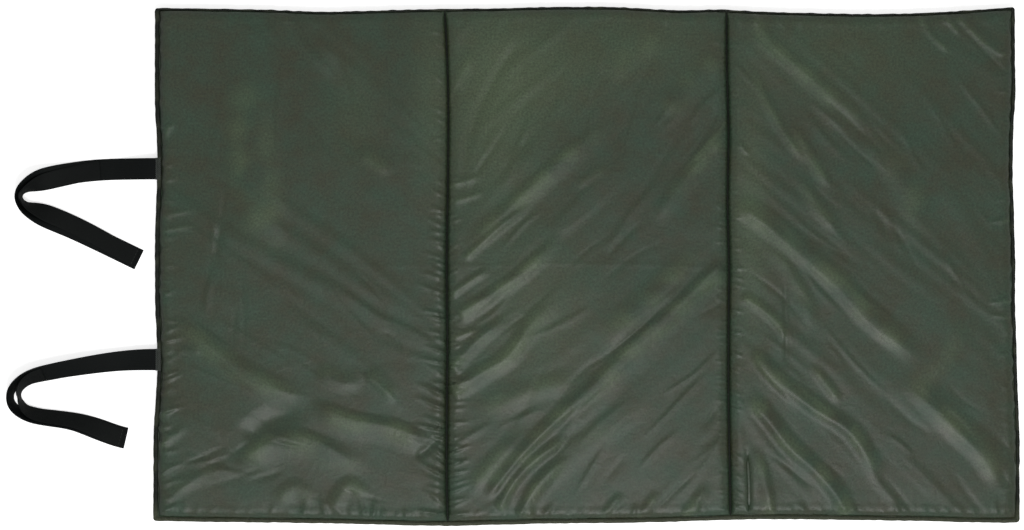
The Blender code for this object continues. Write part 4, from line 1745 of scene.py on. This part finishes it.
@dataclass
class Stitching:
    """Lines of lockstitch: a row of short threads, each sunk at both of its ends."""

    finish: bpy.types.Material
    pitch: float = 3.4 * MM
    thread: float = 0.7 * MM
    sunk: float = 0.15 * MM
    inset: float = 0.34

    def row(self, name: str, path: Array) -> bpy.types.Object:
        """Build the stitches along a path of points.

        Args:
            name: Name of the piece.
            path: Close points of the line, in metres.

        Returns:
            The new object.
        """
        along = lengths_along(path)
        count = max(int(along[-1] / self.pitch), 1)
        form = bmesh.new()
        for index in range(count):
            at = (index + 0.5) * along[-1] / count
            here, ahead, behind = (
                Vector([float(np.interp(at + shift, along, path[:, axis])) for axis in range(3)])
                for shift in (0, MM, -MM))
            self.stitch(form, here, ahead - behind, self.pitch * 0.4)
        return linked(name, form)

    def stitch(self, form: bmesh.types.BMesh, place: Vector, way: Vector, reach: float) -> None:
        """Add one stitch.

        Args:
            form: What it is added to.
            place: Its middle.
            way: The way that it runs.
            reach: How far it runs each way from its middle.
        """
        turn = way.normalized().to_track_quat("X", "Z").to_matrix().to_4x4()
        scale = Matrix.Diagonal((reach, self.thread / 2, self.thread / 2, 1))
        bmesh.ops.create_icosphere(
            form, subdivisions=2, radius=1, matrix=Matrix.Translation(place) @ turn @ scale)

    def build(self, band: EdgeBand, height: float) -> None:
        """Build the band's topstitch, in the stretches that turn together.

        Args:
            band: The band that it goes through.
            height: Height of the band's middle.
        """
        lift = height + band.thickness / 2 + self.sunk
        for stretch in band.stretches():
            plan = stretch.inner + (stretch.outer - stretch.inner) * self.inset
            path = np.concatenate([plan, np.full((len(plan), 1), lift)], axis=1)
            piece = self.row(stretch.thread, path)
            dress(piece, self.finish, (stretch.topstitch,))
            HINGES[stretch.hinge].turn(piece, height)


@dataclass
class Fold:
    """One sewn fold: a narrow web of doubled cloth with a line of stitches down it."""

    name: str
    table: Table
    shape: Shape
    finish: bpy.types.Material
    stitching: Stitching
    half_width: float = 4.2 * MM
    thickness: float = 1.2 * MM
    reach: float = 0.296
    inset: float = 1.2 * MM
    pinch: float = 0.35 * MM
    pinch_pitch: float = 9 * MM
    dip: float = 0.5 * MM
    sunk: float = 0.3 * MM

    def build(self) -> None:
        """Build the web and its stitches."""
        front_x, rear_x = through(self.table, np.array([-self.reach, self.reach]))
        ys = np.linspace(line_at(FRONT_EDGE, front_x) + self.inset,
                         line_at(REAR_EDGE, rear_x) - self.inset, 190)
        across = np.linspace(-1, 1, 7)[None, :]
        middle = through(self.table, ys)
        xs = middle[:, None] + across * self.half_width
        grid_y = ys[:, None] + np.zeros_like(xs)
        pinch = self.pinch * np.cos(2 * math.pi * grid_y / self.pinch_pitch)
        dip = -self.dip * (1 - across ** 2)
        high = self.shape.seam_height + self.thickness / 2 + dip + pinch * across ** 2
        web = closed_form(f"{self.name}_fold_web", Skin.over(xs, grid_y, high),
                          Skin.over(xs, grid_y, high - self.thickness))
        # The web's near-black cloth is painted shade down in the groove between the pads
        dress(web, self.finish, (f"{self.name}_fold_cloth",))
        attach(web, f"{self.name}_fold_strip")
        lift = self.shape.seam_height + self.thickness / 2 - self.sunk
        path = np.stack([middle, ys, np.full_like(ys, lift)], axis=1)
        stitches = self.stitching.row(f"{self.name}_fold_thread", path)
        dress(stitches, self.stitching.finish, (f"{self.name}_fold_stitching",))
        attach(stitches, f"{self.name}_fold_strip")


# Straps


def eased(table: Table, share: float) -> float:
    """Read a table of (share, value) through a smooth curve.

    Args:
        table: The table, in rising order.
        share: Where to read it.

    Returns:
        The value there.
    """
    last = len(table) - 1
    low = max(i for i in range(last) if table[i][0] <= share or i == 0)
    before, start = table[max(low - 1, 0)], table[low]
    end, after = table[low + 1], table[min(low + 2, last)]
    span = end[0] - start[0]
    slope_start = (end[1] - before[1]) / (end[0] - before[0]) * span
    slope_end = (after[1] - start[1]) / (after[0] - start[0]) * span
    return curve(start[1], end[1], slope_start, slope_end, (share - start[0]) / span)


@dataclass(frozen=True)
class Lay:
    """How one strap lies, at shares of its length.

    Headings and leans are in degrees. The inner ply is the hook tape: how far it stands
    off towards the inside of the bend, in millimetres, and how much more it leans.
    """

    centre_y: float
    headings: Table
    leans: Table
    ply_start: float
    ply_gaps: Table
    ply_leans: Table


LAYS = {
    "rear": Lay(
        0.112,
        ((0.00, 180), (0.13, 181), (0.28, 188), (0.40, 194), (0.455, 210), (0.49, 238),
         (0.52, 276), (0.55, 312), (0.585, 334), (0.64, 339), (0.78, 335), (1.00, 334)),
        ((0.00, 0), (0.28, 3), (0.39, 24), (0.455, 64), (0.50, 80), (0.54, 80), (0.58, 60),
         (0.65, 20), (0.75, 2), (1.00, 0)),
        0.20,
        ((0.20, 0), (0.30, 2.4), (0.40, 4.2), (0.45, 4.8), (0.48, 3.4), (0.51, 0.8),
         (0.54, 3.0), (0.59, 4.8), (0.70, 4.4), (0.80, 3.6), (0.90, 1.8), (1.00, 0.6)),
        ((0.20, 0), (0.44, 0), (0.51, 6), (0.58, 0), (1.00, 0))),
    "front": Lay(
        -0.110,
        ((0.00, 180), (0.20, 188), (0.34, 191), (0.445, 198), (0.51, 228), (0.555, 272),
         (0.60, 320), (0.655, 347), (0.765, 352), (0.855, 341), (0.93, 339), (1.00, 347)),
        ((0.00, 0), (0.12, 20), (0.31, 38), (0.42, 46), (0.505, 72), (0.555, 82),
         (0.605, 72), (0.68, 48), (0.81, 38), (0.93, 8), (1.00, 0)),
        0.40,
        ((0.40, 0.5), (0.45, 1.2), (0.50, 5.0), (0.55, 9.4), (0.595, 8.6), (0.64, 3.4),
         (0.70, 0.8), (0.85, 0.8), (1.00, 0)),
        ((0.40, 0), (0.46, 2), (0.54, 8), (0.60, 8), (0.66, 2), (1.00, 0))),
}


class Course(NamedTuple):
    """How a strip lies, with one row for each of its even shares.

    The directions are unit vectors: across the strip, out of its face, and level, out of
    its bend.
    """

    shares: Array
    centres: Array
    across: Array
    normals: Array
    outward: Array

    def between(self, low: float, high: float) -> "Course":
        """Return the part between two shares of the strap."""
        chosen = (self.shares >= low - 1e-9) & (self.shares <= high + 1e-9)
        return Course(*(values[chosen] for values in self))

    def nearest(self, share: float) -> int:
        """Return the row nearest to a share of the strap."""
        return round(share * (len(self.shares) - 1))


@dataclass
class Strap:
    """One webbing strap, its hook tape and the thread that holds them."""

    name: str
    lay: Lay
    webbing: bpy.types.Material
    tape: bpy.types.Material
    stitching: Stitching
    tacks: bpy.types.Material
    width: float = 25 * MM
    thickness: float = 1.5 * MM
    length: float = 0.330
    step: float = 2 * MM
    coarse_step: float = 6 * MM
    outlet: float = 7 * MM
    outlet_turn: Point = (-0.502, -0.509)
    start_x: float = -0.5023
    seam_height: float = 11 * MM
    lift_off: float = 0.16
    bend: Point = (0.44, 0.64)
    tape_width: float = 21 * MM
    tape_thickness: float = 1.2 * MM
    tape_end: float = 0.99
    tip_half: float = 9.5 * MM
    tack_rows: tuple[float, ...] = (1.5 * MM, 3.5 * MM, 5.5 * MM)
    tack_stitches: int = 22
    tack_height: float = 2.2 * MM
    tack_way: Point = (1.6 * MM, 0.5 * MM)
    tack_reach: float = 1.1 * MM
    selvedge: float = 0.1 * MM
    overlap: float = 0.1 * MM
    least_turn: float = 1.5 * MM

    def course(self) -> Course:
        """Return how the webbing lies, from its outlet to its tip."""
        count = round(self.length / self.coarse_step)
        step = self.length / count
        up = Vector((0, 0, 1))
        x, y = self.start_x, self.lay.centre_y
        rows = []
        for index in range(count + 1):
            share = index / count
            lean = math.radians(eased(self.lay.leans, share))
            rest = self.width / 2 * math.sin(lean) + self.thickness / 2 * math.cos(lean)
            settled = float(smooth_step(np.array(share / self.lift_off)))
            height = self.seam_height * (1 - settled) + rest * settled
            heading = math.radians(eased(self.lay.headings, share))
            outward = Vector((math.sin(heading), -math.cos(heading), 0))
            across = outward * math.cos(lean) + up * math.sin(lean)
            normal = -outward * math.sin(lean) + up * math.cos(lean)
            rows.append((share, x, y, height, *across, *normal, *outward))
            if index < count:
                turn = math.radians(eased(self.lay.headings, (index + 0.5) / count))
                x += step * math.cos(turn)
                y += step * math.sin(turn)
        table = np.array(rows)
        shares = np.linspace(0, 1, int(self.length / self.step) + 1)
        slopes = np.gradient(table, table[:, 0], axis=0) * (1 / count)
        low = np.clip(np.searchsorted(table[:, 0], shares) - 1, 0, count - 1)
        part = ((shares - table[low, 0]) / (1 / count))[:, None]
        fine = curve(table[low], table[low + 1], slopes[low], slopes[low + 1], part)
        across, normals = (
            ways / np.linalg.norm(ways, axis=1)[:, None] for ways in (fine[:, 4:7], fine[:, 7:10]))
        return Course(shares, fine[:, 1:4], across, normals, fine[:, 10:13])

    def inner_ply(self, course: Course) -> Course:
        """Return how the hook tape lies, which stands off inside the bend of the webbing.

        Args:
            course: How the webbing lies.

        Returns:
            How the tape lies.
        """
        gap = np.array([eased(self.lay.ply_gaps, share) for share in course.shares]) * MM
        lean = np.radians([eased(self.lay.ply_leans, share) for share in course.shares])[:, None]
        return Course(
            course.shares, course.centres - course.outward * gap[:, None],
            course.across * np.cos(lean) + course.normals * np.sin(lean),
            course.normals * np.cos(lean) - course.across * np.sin(lean), course.outward)

    def ribbon(self, name: str, course: Course, width: float, low: float,
               high: float) -> bpy.types.Object:
        """Build a flat strip with round selvedges.

        Args:
            name: Name of the piece, after the strap's.
            course: How the strip lies.
            width: Its width.
            low: Its under face, as a distance out of the course's face.
            high: Its upper face.

        Returns:
            The new object.
        """
        side = np.array([-1, -0.985, -0.94, -0.86, -0.5, 0, 0.5, 0.86, 0.94, 0.985, 1])
        full = (1 - np.abs(side) ** 14) ** 0.5
        middle, half = (low + high) / 2, (high - low) / 2
        plan = course.centres[:, None, :] + (
            course.across[:, None, :] * side[None, :, None] * width / 2)
        lift = half * full + self.selvedge
        cloth = np.stack(np.broadcast_arrays(
            course.shares[:, None] * self.length, side[None, :] * width / 2), axis=-1)
        skins = (
            Skin(plan + course.normals[:, None, :] * (middle + way * lift)[None, :, None], cloth)
            for way in (1, -1))
        return closed_form(f"{self.name}_{name}", *skins)

    def build(self) -> None:
        """Build the webbing, the hook tape, the tip stitches and the bar tack."""
        course = self.course()
        plies = self.inner_ply(course)
        face, name = self.thickness / 2, f"{self.name}_strap"
        mouth = course.shares[round(self.outlet / self.step)]
        outlet = course.between(0, mouth)
        inside = outlet.centres[0] + np.array([self.outlet, 0, 0])
        firsts = (-mouth, inside, outlet.across[0], outlet.normals[0], outlet.outward[0])
        rooted = Course(*(
            np.concatenate([[first], values]) for first, values in zip(firsts, outlet)))
        root = self.ribbon("webbing_root", rooted, self.width, -face, face)
        dress(root, self.webbing, (f"{name}_root",))
        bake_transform(root)

        webbing = self.ribbon("webbing", course.between(mouth, 1), self.width, -face, face)
        dress(webbing, self.webbing, (f"{name}_run", f"{name}_bend", f"{name}_end"))
        start, end = self.bend_line(course, plies)
        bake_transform(webbing)

        turns = [float(course.shares[course.nearest(share)]) for share in self.bend]
        for piece, low, high, replaced in (
                ("run_ply", self.lay.ply_start, turns[0], ()),
                ("bend_ply", turns[0], turns[1], ()),
                ("hook_tape", turns[1], self.tape_end, (f"{name}_hook_tape",))):
            tape = self.ribbon(piece, plies.between(low, high), self.tape_width,
                               face - self.overlap, face + self.tape_thickness)
            dress(tape, self.tape, replaced)
            if piece == "bend_ply":
                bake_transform(tape)
            else:
                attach(tape, name if piece == "run_ply" else f"{name}_tail")
        self.tip(course)
        self.tack()

    def tip(self, course: Course) -> None:
        """Build the stitches across the strap's tip, through the hook tape.

        Args:
            course: How the webbing lies.
        """
        tip = self.inner_ply(course.between(0.97, 1))
        middle, across, normal = tip.centres[1], tip.across[1], tip.normals[1]
        lift = normal * (self.thickness / 2 + self.tape_thickness + self.stitching.sunk)
        one, two = middle + lift - across * self.tip_half, middle + lift + across * self.tip_half
        path = np.stack([one + (two - one) * t for t in np.linspace(0, 1, 9)])
        stitches = self.stitching.row(f"{self.name}_tip_thread", path)
        dress(stitches, self.stitching.finish, (f"{self.name}_strap_tip_stitch",))
        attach(stitches, f"{self.name}_strap_tail")

    def bend_line(self, course: Course, plies: Course) -> tuple[Place, Place]:
        """Find the line across the U, in the gap between its two legs, where the strap turns.

        Args:
            course: How the webbing lies.
            plies: How the hook tape lies.

        Returns:
            Where the webbing stops following the run, and where it follows the tail.
        """
        spots = [course.centres[course.nearest(share)] for share in (0.2, *self.bend, 0.9)]
        back, ahead = spots[0] - spots[1], spots[3] - spots[2]
        legs = back / np.linalg.norm(back) + ahead / np.linalg.norm(ahead)
        sideways = np.array([legs[1], -legs[0], 0]) / np.linalg.norm(legs[:2])
        middle = (spots[1] + spots[2]) / 2
        if np.dot(spots[2] - spots[1], sideways) < 0:
            sideways = -sideways
        before, after = -math.inf, math.inf
        for strip in (course, plies.between(self.lay.ply_start, self.tape_end)):
            for way in (-1, 1):
                reach = (strip.centres + way * strip.across * self.width / 2 - middle) @ sideways
                before = max(before, float(reach[strip.shares <= self.bend[0]].max()))
                after = min(after, float(reach[strip.shares >= self.bend[1]].min()))
        log.info("%s strap's legs leave %.1f to %.1f mm", self.name, before / MM, after / MM)
        gap, half = (before + after) / 2, max((after - before) / 2, self.least_turn)
        return (tuple(middle + sideways * (gap - half)), tuple(middle + sideways * (gap + half)))

    def tack(self) -> None:
        """Build the bar tack: close stitches across the strap where it enters the band."""
        form = bmesh.new()
        height = self.seam_height + self.tack_height
        ahead, aside = self.tack_way
        for place in self.tack_rows:
            for index in range(self.tack_stitches):
                share = index / (self.tack_stitches - 1) - 0.5
                self.stitching.stitch(
                    form,
                    Vector((self.start_x + place, self.lay.centre_y + self.width * share, height)),
                    Vector((ahead, aside * (-1) ** index, 0)), self.tack_reach)
        tack = linked(f"{self.name}_bar_tack", form)
        dress(tack, self.tacks, (f"{self.name}_strap_bar_tack",))
        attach(tack, "left_panel")


@dataclass
class LoopPatch:
    """A patch of loop tape under the centre panel, which a strap's hooks grip."""

    name: str
    centre_y: float
    length: float = 120 * MM
    width: float = 30 * MM
    thickness: float = 1.2 * MM
    slope: float = 8 * MM
    pile: float = 0.35 * MM
    ground: float = 0.2 * MM
    least_height: float = 0.02 * MM
    rim: float = 0.2 * MM
    rounding: float = 1.2 * MM
    pile_rise: float = 2 * MM
    inset: float = 2 * MM

    @classmethod
    def all(cls) -> tuple["LoopPatch", ...]:
        """Return both patches."""
        return tuple(cls(name, lay.centre_y) for name, lay in LAYS.items())

    def dent(self, xs: Array, ys: Array) -> Array:
        """Return how far the underside is pressed up over the patch.

        Args:
            xs: Places along the mat, in metres.
            ys: Places across it.

        Returns:
            Heights in metres.
        """
        along, across = (
            smooth_step((size / 2 + self.slope - np.abs(away)) / self.slope)
            for size, away in ((self.length, xs), (self.width, ys - self.centre_y)))
        return self.thickness * along * across

    def build(self, finish: bpy.types.Material, stitching: Stitching) -> None:
        """Build the patch, with its pile on the side that looks down, and its stitches.

        Args:
            finish: The loop tape's material.
            stitching: What sews it on.
        """
        half_x, half_y = self.length / 2, self.width / 2
        xs, ys = np.meshgrid(np.linspace(-half_x, half_x, 121),
                             self.centre_y + np.linspace(-half_y, half_y, 31))
        edge = np.minimum(half_x - np.abs(xs), half_y - np.abs(ys - self.centre_y))
        draw = np.random.default_rng(SEED)
        pile = self.pile * draw.random(xs.shape) * np.clip(edge / self.pile_rise, 0, 1)
        full = rolled(edge + self.rim, self.rounding)
        middle, thick = self.thickness / 2 + self.ground, self.thickness / 2 * full
        low = np.maximum(middle - thick - self.pile * full + pile, self.least_height)
        patch = closed_form(f"{self.name}_loop_tape", Skin.over(xs, ys, middle + thick),
                            Skin.over(xs, ys, low))
        dress(patch, finish, (f"{self.name}_loop_patch",))
        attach(patch, "centre_panel")
        corners = [np.array([x * (half_x - self.inset), y * (half_y - self.inset)])
                   for x, y in ((-1, -1), (1, -1), (1, 1), (-1, 1), (-1, -1))]
        path = [(*(one + (two - one) * part + (0, self.centre_y)), self.pile)
                for one, two in zip(corners, corners[1:]) for part in np.linspace(0, 1, 20)[:-1]]
        stitches = stitching.row(f"{self.name}_loop_thread", np.array(path))
        dress(stitches, stitching.finish, ())
        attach(stitches, "centre_panel")


# Floor, light and camera


@dataclass(frozen=True)
class Studio:
    """A white floor, one broad lamp low over the near side and an even white surround."""

    camera_place: Place = (-0.0875, 0.0, 2.823)
    lens: float = 85.0
    floor_size: float = 60.0
    floor_drop: float = 0.4 * MM
    surround: float = 0.45
    floor_glow: float = 0.63
    key_place: Place = (0.10, -1.35, 2.3)
    key_size: float = 0.9
    key_power: float = 42.0

    def build(self) -> None:
        """Build the floor, the lamp, the surround and the camera."""
        self.floor()
        self.world()
        self.lamp()
        camera = bpy.data.cameras.new("camera")
        camera.lens = self.lens
        camera.sensor_width = 36.0
        camera.clip_end = 50.0
        bpy.context.scene.camera = placed("camera", camera, self.camera_place)

    def lamp(self) -> None:
        """Add the square lamp, which looks at the middle of the mat."""
        light = bpy.data.lights.new("key", "AREA")
        light.shape = "SQUARE"
        light.size = self.key_size
        light.energy = self.key_power
        holder = placed("key", light, self.key_place)
        holder.rotation_euler = (-Vector(self.key_place)).to_track_quat("-Z", "Y").to_euler()

    def white_to_camera(self, material: Owner, shader: bpy.types.Node,
                        output: bpy.types.Node) -> None:
        """Show plain white to the camera and in gloss, and keep the shader for light.

        Args:
            material: What has the shader.
            shader: What lights the scene.
            output: The node that the two are mixed into.
        """
        rays = add_node(material, "ShaderNodeLightPath").outputs
        seen = add_node(material, "ShaderNodeMath", {"operation": "MAXIMUM"}, None,
                        {0: rays["Is Camera Ray"], 1: rays["Is Glossy Ray"]})
        either = add_node(material, "ShaderNodeMath", {"operation": "MAXIMUM"}, None,
                          {0: seen.outputs["Value"], 1: rays["Is Transmission Ray"]})
        white = add_node(material, "ShaderNodeBackground", None,
                         {"Color": (1, 1, 1, 1), "Strength": 1.0})
        mixed = add_node(material, "ShaderNodeMixShader", None, None, {
            0: either.outputs["Value"], 1: shader.outputs[0], 2: white.outputs[0]})
        set_sockets(material, output, None, {"Surface": mixed.outputs[0]})

    def world(self) -> None:
        """Make the surround: white where it is seen, softer where it lights."""
        world = bpy.data.worlds.new("surround")
        world.use_nodes = True
        bpy.context.scene.world = world
        shader = world.node_tree.nodes["Background"]
        set_sockets(world, shader, {"Color": (1, 1, 1, 1), "Strength": self.surround})
        self.white_to_camera(world, shader, world.node_tree.nodes["World Output"])

    def floor(self) -> None:
        """Lay the white floor just under the mat."""
        form = bmesh.new()
        bmesh.ops.create_grid(form, x_segments=1, y_segments=1, size=self.floor_size / 2,
                              matrix=Matrix.Translation((0, 0, -self.floor_drop)))
        floor = linked("floor", form)
        material, shader = new_material("white_floor")
        paths = add_node(material, "ShaderNodeLightPath")
        glow = add_node(material, "ShaderNodeMath", {"operation": "MULTIPLY"},
                        {1: self.floor_glow}, {0: paths.outputs["Is Camera Ray"]})
        set_sockets(material, shader, {
            "Base Color": linear("#F4F4F4"), "Roughness": 0.9, "Specular IOR Level": 0.0,
            "Emission Color": (1, 1, 1, 1)}, {"Emission Strength": glow.outputs["Value"]})
        floor.data.materials.append(material)


def main() -> None:
    """Build every sub-assembly of the mat and the studio round it."""
    logging.basicConfig(level=logging.INFO, format="%(name)s: %(message)s")
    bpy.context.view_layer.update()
    bpy.context.scene.view_settings.view_transform = "Standard"
    Studio().build()

    shape = Shape()
    nylon, binding = NYLON.build(), BINDING_AND_GROOVE_SHADE.build()
    webbing, hooks, loops = STRAP_WEBBING.build(), HOOKS.build(), LOOPS.build()
    stitching = Stitching(THREAD.build())
    foam, tacks = FOAM.build(), TACKS.build()
    panels = (
        (Pad("left", Grip.BAND, Grip.FOLD, LEFT_CREASES, shape, SEED), (-0.490, -0.190)),
        (Pad("centre", Grip.FOLD, Grip.FOLD, CENTRE_CREASES, shape, SEED + 20), (-0.136, 0.136)),
        (Pad("right", Grip.FOLD, Grip.BAND, RIGHT_CREASES, shape, SEED + 40), (0.190, 0.487)),
    )
    for pad, foam_reach in panels:
        PaddedPanel(pad, nylon, foam, foam_reach).build()
    band = EdgeBand(shape, binding)
    band.build()
    stitching.build(band, shape.seam_height)
    for name, table in (("left", LEFT_SEAM), ("right", RIGHT_SEAM)):
        Fold(name, table, shape, binding, stitching).build()
    for name, lay in LAYS.items():
        Strap(name, lay, webbing, hooks, stitching, tacks).build()
    for patch in LoopPatch.all():
        patch.build(loops, stitching)


if __name__ == "__main__":
    main()
